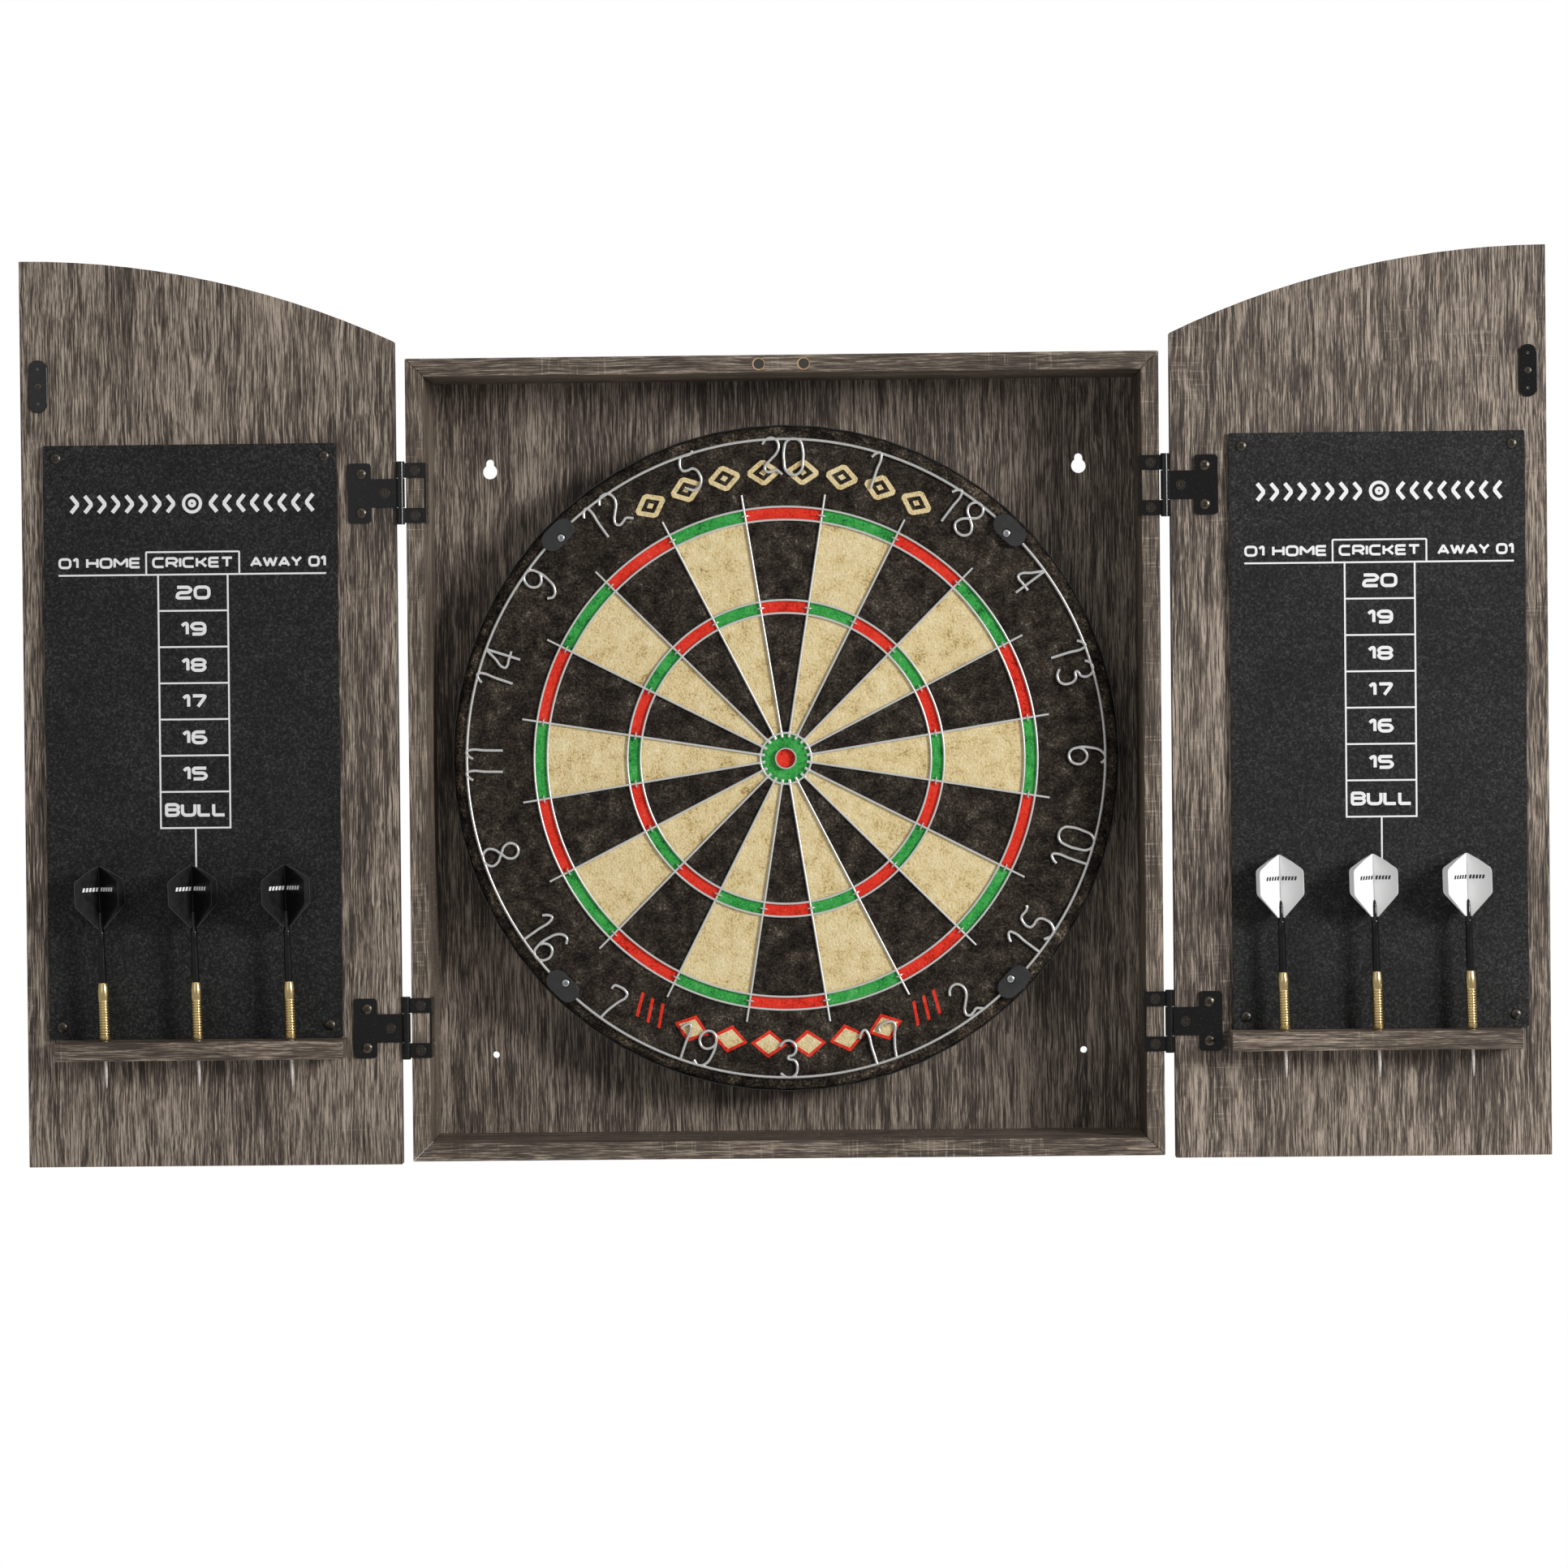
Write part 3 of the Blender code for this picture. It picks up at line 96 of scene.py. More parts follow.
# ---------------------------------------------------------------- materials
def linear(colour):
    """Linear RGBA of an sRGB hex colour."""
    channels = [int(colour[start:start + 2], 16) / 255 for start in (1, 3, 5)]
    return [*(c / 12.92 if c <= 0.04045 else ((c + 0.055) / 1.055) ** 2.4 for c in channels), 1.0]


def add(tree, kind, inputs, stops=(), **settings):
    """Add one node with its settings, its socket values or links, and a ramp's colour stops."""
    made = tree.nodes.new(kind)
    for key, value in settings.items():
        setattr(made, key, value)
    for key, value in inputs.items():
        if isinstance(value, bpy.types.NodeSocket):
            tree.links.new(value, made.inputs[key])
        else:
            made.inputs[key].default_value = value
    if stops:
        elements = made.color_ramp.elements
        elements.remove(elements[1])
        elements[0].position, elements[0].color = stops[0][0], linear(stops[0][1])
        for place, colour in stops[1:]:
            elements.new(place).color = linear(colour)
    return made


def finish(name, colour, roughness, **sockets):
    """Start a material: its tree, its shader and the surface coordinates."""
    made = bpy.data.materials.new(name)
    made.use_nodes = True
    tree = made.node_tree
    shader = tree.nodes["Principled BSDF"]
    shader.inputs["Base Color"].default_value = linear(colour)
    shader.inputs["Roughness"].default_value = roughness
    for key, value in sockets.items():
        shader.inputs[key.replace("_", " ")].default_value = value
    coords = add(tree, "ShaderNodeTexCoord", {}).outputs["Object"]
    return made, tree, shader, coords


def in_mm(points):
    """Points given in millimetres, in metres."""
    return [tuple(value * MM for value in point) for point in points]


def on_circle(radius, degrees):
    """Point of a circle round the origin."""
    return radius * math.cos(math.radians(degrees)), radius * math.sin(math.radians(degrees))


def per(*sizes):
    """Texture scale for features of the given sizes in millimetres."""
    return [1 / (size * MM) for size in sizes]


def oak_laminate(name, grain, start, saw_marks, tones):
    """Grey-brown oak print under matt melamine: ropy streaks along the board, darker bands of
    growth, short dark pores and pale saw marks across the grain."""
    made, tree, shader, coords = finish(name, tones[2], 0.5)
    shader.inputs["Specular IOR Level"].default_value = 0.35

    def along(across, length):
        """Scale of a feature this wide across the grain and this long with it, in mm."""
        wide, long = per(across, length)
        return (long, wide, wide) if grain == "X" else (wide, wide, long)

    sway = (0, 1, 1) if grain == "X" else (1, 1, 0)
    placed = add(tree, "ShaderNodeMapping", {"Vector": coords, "Location": start}).outputs[0]
    bent = placed
    for feature, reach in ((45, 3.0), (9, 0.6)):
        drift = add(tree, "ShaderNodeTexNoise",
                    {"Vector": placed, "Scale": per(feature)[0], "Detail": 1.0}).outputs["Color"]
        bent = add(tree, "ShaderNodeVectorMath",
                   {0: drift, 1: [reach * MM * amount for amount in sway], 2: bent},
                   operation="MULTIPLY_ADD").outputs[0]

    fields = {}
    for key, size, detail, roughness in (
            ("streaks", along(0.85, 24), 1.5, 0.55), ("fibres", along(0.45, 4.5), 2.0, 0.6),
            ("bands", along(8, 170), 2.5, 0.6), ("pores", along(0.55, 12), 1.0, 0.5),
            ("clouds", along(60, 110), 1.0, 0.5)):
        spread = add(tree, "ShaderNodeMapping", {"Vector": bent, "Scale": size}).outputs[0]
        fields[key] = add(tree, "ShaderNodeTexNoise",
                          {"Vector": spread, "Scale": 1.0, "Detail": detail,
                           "Roughness": roughness}).outputs["Fac"]

    tone = fields["streaks"]
    for key, share in (("fibres", 0.34), ("bands", 0.42), ("clouds", 0.3)):
        tone = add(tree, "ShaderNodeMath", {0: fields[key], 1: share, 2: tone},
                   operation="MULTIPLY_ADD").outputs[0]
    tone = add(tree, "ShaderNodeMapRange",
               {"Value": tone, "From Min": 0.84, "From Max": 1.22}).outputs[0]
    wood = add(tree, "ShaderNodeValToRGB", {"Fac": tone},
               stops=list(zip((0.0, 0.3, 0.5, 0.72, 1.0), tones))).outputs["Color"]

    dark = add(tree, "ShaderNodeMapRange",
               {"Value": fields["pores"], "From Min": 0.4, "From Max": 0.3,
                "To Min": 0.0, "To Max": 0.6}).outputs[0]
    wood = add(tree, "ShaderNodeMix", {0: dark, 6: wood, 7: linear(tones[0])},
               data_type="RGBA").outputs[2]

    # Saw marks: thin pale ticks across the grain, in patches, broken up by the streaks.
    ticks = add(tree, "ShaderNodeMapping", {"Vector": placed, "Scale": along(26, 1.5)}).outputs[0]
    ticks = add(tree, "ShaderNodeTexNoise",
                {"Vector": ticks, "Scale": 1.0, "Detail": 1.0}).outputs["Fac"]
    ticks = add(tree, "ShaderNodeMapRange",
                {"Value": ticks, "From Min": 0.60, "From Max": 0.72}).outputs[0]
    patches = add(tree, "ShaderNodeTexNoise",
                  {"Vector": placed, "Scale": per(85)[0], "Detail": 1.0}).outputs["Fac"]
    patches = add(tree, "ShaderNodeMapRange",
                  {"Value": patches, "From Min": 0.62 - 0.2 * saw_marks,
                   "From Max": 0.72 - 0.2 * saw_marks, "To Max": 0.35 + 0.4 * saw_marks}).outputs[0]
    ticks = add(tree, "ShaderNodeMath", {0: ticks, 1: patches}, operation="MULTIPLY").outputs[0]
    broken = add(tree, "ShaderNodeMapRange",
                 {"Value": fields["streaks"], "From Min": 0.38, "From Max": 0.55}).outputs[0]
    ticks = add(tree, "ShaderNodeMath", {0: ticks, 1: broken}, operation="MULTIPLY").outputs[0]
    wood = add(tree, "ShaderNodeMix", {0: ticks, 6: wood, 7: linear(tones[4])},
               data_type="RGBA").outputs[2]
    tree.links.new(wood, shader.inputs["Base Color"])

    rough = add(tree, "ShaderNodeMapRange",
                {"Value": tone, "To Min": 0.62, "To Max": 0.46}).outputs[0]
    tree.links.new(rough, shader.inputs["Roughness"])
    relief = add(tree, "ShaderNodeBump", {"Height": tone, "Strength": 0.5, "Distance": 0.12 * MM})
    tree.links.new(relief.outputs[0], shader.inputs["Normal"])
    return made


def speckled_board(name, colour, speck):
    """Chalk board: hardboard under a fine-grained black writing lacquer with pale grains in it."""
    made, tree, shader, coords = finish(name, colour, 0.6)
    shader.inputs["Specular IOR Level"].default_value = 0.22
    # Grains are really 0.3 mm; they are drawn at 1.4 mm so that they show.
    grain = add(tree, "ShaderNodeTexNoise", {"Vector": coords, "Scale": per(1.4)[0], "Detail": 4.0,
                                             "Roughness": 0.75}).outputs["Fac"]
    mottle = add(tree, "ShaderNodeTexNoise", {"Vector": coords, "Scale": per(45)[0],
                                              "Detail": 3.0}).outputs["Fac"]
    tone = add(tree, "ShaderNodeMath", {0: mottle, 1: 0.12, 2: grain},
               operation="MULTIPLY_ADD").outputs[0]
    paint = add(tree, "ShaderNodeValToRGB", {"Fac": tone},
                stops=[(0.42, "#0b0b0c"), (0.51, "#161616"), (0.59, colour), (0.67, "#383838"),
                       (0.79, speck)])
    tree.links.new(paint.outputs["Color"], shader.inputs["Base Color"])
    relief = add(tree, "ShaderNodeBump", {"Height": grain, "Strength": 0.35, "Distance": 0.15 * MM})
    tree.links.new(relief.outputs[0], shader.inputs["Normal"])
    return made


def sisal(name, stops, relief_depth, scuffs=None):
    """End-grain sisal, pressed and dyed: felted tufts with deeper pits between them."""
    made, tree, shader, coords = finish(name, stops[2][1], 0.92)
    shader.inputs["Specular IOR Level"].default_value = 0.06
    drift = add(tree, "ShaderNodeTexNoise", {"Vector": coords, "Scale": per(3)[0], "Detail": 2.0})
    bent = add(tree, "ShaderNodeVectorMath",
               {0: drift.outputs["Color"], 1: (2.2 * MM,) * 3, 2: coords},
               operation="MULTIPLY_ADD").outputs[0]
    tufts = add(tree, "ShaderNodeTexNoise", {"Vector": bent, "Scale": per(1.5)[0], "Detail": 4.0,
                                             "Roughness": 0.62}).outputs["Fac"]
    patches = add(tree, "ShaderNodeTexNoise", {"Vector": coords, "Scale": per(9)[0], "Detail": 4.0,
                                               "Roughness": 0.65}).outputs["Fac"]
    height = add(tree, "ShaderNodeMath", {0: patches, 1: 0.9, 2: tufts},
                 operation="MULTIPLY_ADD").outputs[0]
    tone = add(tree, "ShaderNodeMapRange",
               {"Value": height, "From Min": 0.65, "From Max": 1.25}).outputs[0]
    dye = add(tree, "ShaderNodeValToRGB", {"Fac": tone}, stops=stops).outputs["Color"]
    if scuffs:
        # Loose pale fibres lying on the face.
        lie = add(tree, "ShaderNodeTexNoise",
                  {"Vector": coords, "Scale": per(14)[0], "Detail": 1.0})
        strewn = add(tree, "ShaderNodeVectorMath",
                     {0: lie.outputs["Color"], 1: (16 * MM,) * 3, 2: coords},
                     operation="MULTIPLY_ADD").outputs[0]
        spread = add(tree, "ShaderNodeMapping",
                     {"Vector": strewn, "Scale": per(5.5, 5.5, 0.8)}).outputs[0]
        fibre = add(tree, "ShaderNodeTexNoise",
                    {"Vector": spread, "Scale": 1.0, "Detail": 1.0}).outputs["Fac"]
        fibre = add(tree, "ShaderNodeMapRange",
                    {"Value": fibre, "From Min": 0.62, "From Max": 0.8, "To Max": 0.22}).outputs[0]
        dye = add(tree, "ShaderNodeMix", {0: fibre, 6: dye, 7: linear(scuffs)},
                  data_type="RGBA").outputs[2]
    tree.links.new(dye, shader.inputs["Base Color"])
    relief = add(tree, "ShaderNodeBump", {"Height": height, "Strength": 1.0,
                                          "Distance": relief_depth * MM})
    tree.links.new(relief.outputs[0], shader.inputs["Normal"])
    return made


def uneven_gloss(tree, shader, field, roughness, spread):
    """Roughness that falls and rises about its mean by the given shares."""
    rough = add(tree, "ShaderNodeMapRange",
                {"Value": field, "From Min": 0.3, "From Max": 0.7,
                 "To Min": roughness * (1 - spread[0]),
                 "To Max": min(1.0, roughness * (1 + spread[1]))}).outputs[0]
    tree.links.new(rough, shader.inputs["Roughness"])


def worked_metal(name, colour, roughness, grain_mm=0.6, relief=0.04, metallic=1.0, flecks=None):
    """Metal or lacquer over metal: faint uneven gloss and, where asked, tiny pale flecks."""
    made, tree, shader, coords = finish(name, colour, roughness, Metallic=metallic)
    cloud = add(tree, "ShaderNodeTexNoise", {"Vector": coords, "Scale": per(grain_mm)[0],
                                             "Detail": 3.0}).outputs["Fac"]
    uneven_gloss(tree, shader, cloud, roughness, (0.25, 0.3))
    bump = add(tree, "ShaderNodeBump", {"Height": cloud, "Strength": 0.4, "Distance": relief * MM})
    tree.links.new(bump.outputs[0], shader.inputs["Normal"])
    if flecks:
        # Flecks are really 0.05 mm; they are drawn 0.1 to 0.2 mm wide, one to each 1.6 mm.
        spots = add(tree, "ShaderNodeTexVoronoi",
                    {"Vector": coords, "Scale": per(1.6)[0]}).outputs["Distance"]
        spots = add(tree, "ShaderNodeMapRange",
                    {"Value": spots, "From Min": 0.11, "From Max": 0.06, "To Max": 0.8}).outputs[0]
        coat = add(tree, "ShaderNodeMix", {0: spots, 6: linear(colour), 7: linear(flecks)},
                   data_type="RGBA").outputs[2]
        tree.links.new(coat, shader.inputs["Base Color"])
    return made


def moulded(name, colour, roughness, dust=None):
    """Moulded plastic, rubber, film or ink: nearly even, with a trace of handling."""
    made, tree, shader, coords = finish(name, colour, roughness)
    cloud = add(tree, "ShaderNodeTexNoise", {"Vector": coords, "Scale": per(4)[0],
                                             "Detail": 4.0}).outputs["Fac"]
    uneven_gloss(tree, shader, cloud, roughness, (0.15, 0.15))
    wear = add(tree, "ShaderNodeMapRange", {"Value": cloud, "From Min": 0.45, "From Max": 0.75,
                                            "To Max": 0.25}).outputs[0]
    coat = add(tree, "ShaderNodeMix", {0: wear, 6: linear(colour), 7: linear(dust or colour)},
               data_type="RGBA").outputs[2]
    tree.links.new(coat, shader.inputs["Base Color"])
    return made


def raw_board(name, dark, pale, chip_mm):
    """Bare wood board: pressed chips or fibres under no coat."""
    made, tree, shader, coords = finish(name, pale, 0.85)
    chips = add(tree, "ShaderNodeTexVoronoi", {"Vector": coords, "Scale": per(chip_mm)[0],
                                               "Randomness": 1.0}).outputs["Color"]
    fibres = add(tree, "ShaderNodeTexNoise", {"Vector": coords, "Scale": per(chip_mm / 3)[0],
                                              "Detail": 3.0}).outputs["Fac"]
    shade = add(tree, "ShaderNodeMath", {0: chips, 1: 0.6, 2: fibres},
                operation="MULTIPLY_ADD").outputs[0]
    paint = add(tree, "ShaderNodeValToRGB", {"Fac": shade}, stops=[(0.35, dark), (0.95, pale)])
    tree.links.new(paint.outputs["Color"], shader.inputs["Base Color"])
    relief = add(tree, "ShaderNodeBump", {"Height": fibres, "Strength": 0.5, "Distance": 0.1 * MM})
    tree.links.new(relief.outputs[0], shader.inputs["Normal"])
    return made


# Oak print, dark pores to pale ridges; the rails' lot is a little warmer and more even.
OAK_TONES = ("#332b26", "#4c423a", "#685c52", "#897c6f", "#aea091")
RAIL_TONES = ("#3c332c", "#50463d", "#64584d", "#7b6e61", "#a39585")

# Black lacquer on pressed steel is nearly mirror-smooth: edges catch the lights, dust shows.
BLACK_STEEL = worked_metal("black_lacquered_steel", "#050505", 0.2, relief=0.006, metallic=0.0,
                           flecks="#7d776b")
# A hinge pin's black coat is rubbed to bare steel, so it glints along its length.
BARREL_STEEL = worked_metal("worn_black_steel", "#4a4844", 0.22, relief=0.006)
# Browned and oxide-blackened screws are dull, with a soft warm shine on the dome.
BRONZE_STEEL = worked_metal("browned_steel_screw", "#5c554d", 0.34)
DARK_SCREW = worked_metal("black_oxide_screw", "#55504a", 0.36)
# Zinc is a cool satin grey.
ZINC = worked_metal("zinc_plated_steel", "#b9bbbd", 0.32)
# Plated wire is bright and drawn smooth; it reads as thin white lines with dark undersides.
BRIGHT_WIRE = worked_metal("plated_board_wire", "#dededb", 0.34, relief=0.01, metallic=0.6)
RING_WIRE = worked_metal("plated_number_wire", "#dadad8", 0.3, relief=0.006, metallic=0.7)
# Turned brass is polished: every ring carries its own narrow highlight.
BRASS = worked_metal("turned_brass", "#eed49a", 0.2, relief=0.01)
# A ground point is pale and even, with a long soft highlight.
POINT_STEEL = worked_metal("ground_point_steel", "#ece5e0", 0.3, grain_mm=4, relief=0.004,
                           metallic=0.6)
# Sintered magnet under thin nickel: dark grey, half dull.
MAGNET = worked_metal("nickel_plated_magnet", "#5d5a56", 0.4)
# The rim's strip is painted, with a broad weak shine.
BLACK_BAND = worked_metal("black_lacquered_strip", "#1b1b1c", 0.4, metallic=0.0)
# Moulded nylon: dark grey satin on the clips, glossy black on the dart stems.
CLIP = moulded("grey_moulded_nylon", "#2a2a2b", 0.4, "#39393a")
NYLON = moulded("black_moulded_nylon", "#050505", 0.16, "#080808")
# Rubber gives almost no shine.
RUBBER = moulded("black_rubber", "#1a1a1a", 0.8, "#242424")
# Screen ink is flat and even, slightly rubbed.
INK = moulded("white_screen_ink", "#ececec", 0.6, "#e2e2e2")
BLACK_INK = moulded("black_screen_ink", "#151515", 0.5)
# Polyester film has a smooth sheen. A narrow band round each wing's face is painted paler on black
# film, as a painted highlight along its edge, and a little greyer on white film.
BLACK_FILM = moulded("black_polyester_film", "#060606", 0.3, "#0b0b0b")
# Paler band on black wings: a painted highlight along the edge of the film.
BLACK_FILM_EDGE_HIGHLIGHT = moulded("black_film_edge_painted_highlight", "#3e3e3e", 0.35)
WHITE_FILM = moulded("white_polyester_film", "#f4f4f4", 0.45, "#efefef")
WHITE_EDGE = moulded("cut_white_film_edge", "#dcdcdc", 0.45)
# Raw boards are dry and pale brown: fine fibres in the MDF, 3 mm chips in the backing.
RAW_MDF = raw_board("raw_fibreboard", "#8d7253", "#c6a77f", 0.8)
CHIPBOARD = raw_board("raw_chipboard", "#6f573b", "#ab8a5f", 3.0)
CHALK_BOARD = speckled_board("black_chalk_lacquer", "#242424", "#5c5c59")

# Sisal is felted and has no shine. Natural fibre is straw-coloured with brown pits; dye leaves
# pale fibre ends showing, most of all on the handled rim.
NATURAL = sisal(
    "natural_sisal", [(0.02, "#a0824f"), (0.25, "#d4ba84"), (0.45, "#e6d19e"), (0.75, "#efddae"),
                      (1.0, "#f8ebc8")], 1.1)
BLACK = sisal(
    "black_dyed_sisal", [(0.1, "#141110"), (0.35, "#26211d"), (0.55, "#352f29"), (0.8, "#4c453c"),
                         (1.0, "#7c7365")], 0.8, scuffs="#8c8377")
RED = sisal(
    "red_dyed_sisal", [(0.05, "#8e1a12"), (0.3, "#d23022"), (0.5, "#e53a2a"), (0.8, "#ec4434"),
                       (1.0, "#f06a5a")], 0.8)
GREEN = sisal(
    "green_dyed_sisal", [(0.05, "#1a5428"), (0.3, "#318f42"), (0.5, "#3da54b"), (0.8, "#4fb05a"),
                         (1.0, "#83c486")], 0.8)
WORN_RIM = sisal(
    "worn_black_rim", [(0.1, "#14110f"), (0.35, "#231f1b"), (0.5, "#332d27"), (0.75, "#574d42"),
                       (1.0, "#9c8e79")], 1.6, scuffs="#a0917b")


# ---------------------------------------------------------------- making pieces
def turned(profile, steps, ring=False):
    """Shape turned about Z from (radius, height) points; a ring's profile is a loop."""
    bm = bmesh.new()
    points = [bm.verts.new((radius, 0.0, height)) for radius, height in profile]
    pairs = list(zip(points, points[1:]))
    if ring:
        pairs.append((points[-1], points[0]))
    edges = [bm.edges.new(pair) for pair in pairs]
    bmesh.ops.spin(bm, geom=points + edges, cent=(0, 0, 0), axis=(0, 0, 1),
                   angle=2 * math.pi, steps=steps, use_merge=True)
    bmesh.ops.remove_doubles(bm, verts=bm.verts, dist=1e-7)
    return bm


def face_viewer(bm):
    """Turn heights above Z = 0 into depths towards the viewer, and Y into height."""
    bmesh.ops.rotate(bm, cent=(0, 0, 0), verts=bm.verts,
                     matrix=Matrix.Rotation(math.radians(90), 3, "X"))
    return bm


def moved(bm, place):
    """Shift a whole shape."""
    bmesh.ops.translate(bm, vec=place, verts=bm.verts)
    return bm


def spun(bm, angle, axis="Y"):
    """Turn a whole shape about an axis through the origin."""
    bmesh.ops.rotate(bm, cent=(0, 0, 0), verts=bm.verts, matrix=Matrix.Rotation(angle, 3, axis))
    return bm


def together(shapes):
    """Put several shapes in one bmesh."""
    joined = bmesh.new()
    for bm in shapes:
        carrier = bpy.data.meshes.new("carrier")
        bm.to_mesh(carrier)
        bm.free()
        joined.from_mesh(carrier)
        bpy.data.meshes.remove(carrier)
    return joined


def slab(outline, thickness):
    """Flat outline in the X-Z plane, its front at Y = 0 and its back at Y = thickness."""
    bm = bmesh.new()
    face = bm.faces.new([bm.verts.new((x, thickness, z)) for x, z in outline])
    grown = bmesh.ops.extrude_face_region(bm, geom=[face])["geom"]
    raised = [item for item in grown if isinstance(item, bmesh.types.BMVert)]
    bmesh.ops.translate(bm, vec=(0, -thickness, 0), verts=raised)
    return bm


def eased(bm, width, segments=2, sharper_than=40):
    """Round off the sharp edges of a shape."""
    bmesh.ops.recalc_face_normals(bm, faces=bm.faces)
    edges = [edge for edge in bm.edges
             if len(edge.link_faces) == 2 and edge.calc_face_angle() > math.radians(sharper_than)]
    bmesh.ops.bevel(bm, geom=edges, offset=width, offset_type="OFFSET", segments=segments,
                    profile=0.5, affect="EDGES", material=-1, clamp_overlap=True)
    return bm


def made_from(thing):
    """Bmesh of an object as its modifiers or its curve shape it; the object is used up."""
    bpy.context.scene.collection.objects.link(thing)
    bpy.context.view_layer.update()
    graph = bpy.context.evaluated_depsgraph_get()
    mesh = bpy.data.meshes.new_from_object(thing.evaluated_get(graph))
    bpy.data.objects.remove(thing)
    bm = bmesh.new()
    bm.from_mesh(mesh)
    bpy.data.meshes.remove(mesh)
    return bm


def cut(bm, tool):
    """Take a tool shape out of a shape."""
    holders = []
    for shape in (bm, tool):
        bmesh.ops.recalc_face_normals(shape, faces=shape.faces)
        mesh = bpy.data.meshes.new("cut")
        shape.to_mesh(mesh)
        shape.free()
        holders.append(bpy.data.objects.new("cut", mesh))
    bpy.context.scene.collection.objects.link(holders[1])
    step = holders[0].modifiers.new("cut", "BOOLEAN")
    step.operation = "DIFFERENCE"
    step.solver = "EXACT"
    step.object = holders[1]
    result = made_from(holders[0])
    bpy.data.objects.remove(holders[1])
    return result


def bent_wire(paths, radius, handles="AUTO", sides=2, fineness=6, capped=True):
    """Round wire bent through each path's points; a path whose ends meet is closed."""
    curve = bpy.data.curves.new("wire", "CURVE")
    curve.dimensions = "3D"
    curve.resolution_u = fineness
    for path in paths:
        closed = (Vector(path[0]) - Vector(path[-1])).length < 1e-9
        points = path[:-1] if closed else path
        spline = curve.splines.new("BEZIER")
        spline.bezier_points.add(len(points) - 1)
        spline.use_cyclic_u = closed
        for knot, point in zip(spline.bezier_points, points):
            knot.co = point
            knot.handle_left_type = knot.handle_right_type = handles
    curve.bevel_depth = radius
    curve.bevel_resolution = sides
    curve.use_fill_caps = capped
    return made_from(bpy.data.objects.new("wire", curve))


def rounded(path, cut_back):
    """Path with every turn cut back a little on both sides of its corner."""
    closed = path[0] == path[-1]
    points = [Vector(point) for point in (path[:-1] if closed else path)]
    result = []
    for index, point in enumerate(points):
        if not closed and index in (0, len(points) - 1):
            result.append(point)
            continue
        for other in (points[index - 1], points[(index + 1) % len(points)]):
            way = other - point
            result.append(point + way.normalized() * min(cut_back, way.length * 0.3))
    return result + result[:1] if closed else result


def stroke(paths, width, thickness):
    """Flat strokes of ink in the X-Y plane along paths of (x, y) points, round at their turns."""
    bm = bmesh.new()
    count = 0

    def laid(verts):
        """Runs and joints that overlap lie at slightly different heights."""
        nonlocal count
        bmesh.ops.translate(bm, vec=(0, 0, (count % 31) * 0.003 * MM), verts=verts)
        count += 1

    for path in paths:
        points = rounded(path, width * 0.35)
        closed = (points[0] - points[-1]).length < 1e-9
        for point, following in zip(points, points[1:]):
            along = (following - point).normalized() * width / 2
            across = Vector((-along.y, along.x))
            corners = [bm.verts.new((*corner, 0.0)) for corner in
                       (point + across, point - across, following - across, following + across)]
            bm.faces.new(corners)
            laid(corners)
        for point in points[:-1] if closed else points[1:-1]:
            laid(bmesh.ops.create_circle(bm, cap_ends=True, segments=12, radius=width / 2,
                                         matrix=Matrix.Translation((*point, 0.0)))["verts"])
    grown = bmesh.ops.extrude_face_region(bm, geom=bm.faces[:])["geom"]
    raised = [item for item in grown if isinstance(item, bmesh.types.BMVert)]
    bmesh.ops.translate(bm, vec=(0, 0, thickness), verts=raised)
    return bm


def like_node(name, ease=None):
    """Copy of a CAD node with its corners merged, its flat faces whole and its edges eased."""
    bm = bmesh.new()
    bm.from_mesh(nodes[name].data)
    bmesh.ops.remove_doubles(bm, verts=bm.verts, dist=1e-6)
    bmesh.ops.dissolve_limit(bm, angle_limit=math.radians(0.5), verts=bm.verts, edges=bm.edges)
    return eased(bm, ease) if ease else bm


def piece(name, bm, body, slot, *finishes, replaces=(), sharp=35):
    """One finished piece from a bmesh, riding on its body."""
    bmesh.ops.remove_doubles(bm, verts=bm.verts, dist=1e-7)
    bmesh.ops.recalc_face_normals(bm, faces=bm.faces)
    mesh = bpy.data.meshes.new(name)
    bm.to_mesh(mesh)
    bm.free()
    for made in finishes:
        mesh.materials.append(made)
    mesh.shade_smooth()
    mesh.set_sharp_from_angle(angle=math.radians(sharp))
    made = bpy.data.objects.new(name, mesh)
    bpy.context.scene.collection.objects.link(made)
    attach(made, body)
    if replaces:
        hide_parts(*replaces)
    return made


def middle(node):
    """Middle of a CAD node's box."""
    low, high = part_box(node)
    return (low + high) / 2


# ---------------------------------------------------------------- kept CAD nodes
def coat(name, made):
    """Give a kept CAD node its finish."""
    mesh = nodes[name].data
    mesh.materials.clear()
    mesh.materials.append(made)


def smooth_node(name, body, slot, made, ease):
    """Put an eased, smoothly shaded copy in a CAD node's place."""
    eased_copy = piece(f"{name}_eased", like_node(name, ease), body, slot, made,
                       replaces=[name], sharp=50)
    eased_copy.modifiers.new("flat_faces_stay_flat", "WEIGHTED_NORMAL").keep_sharp = True


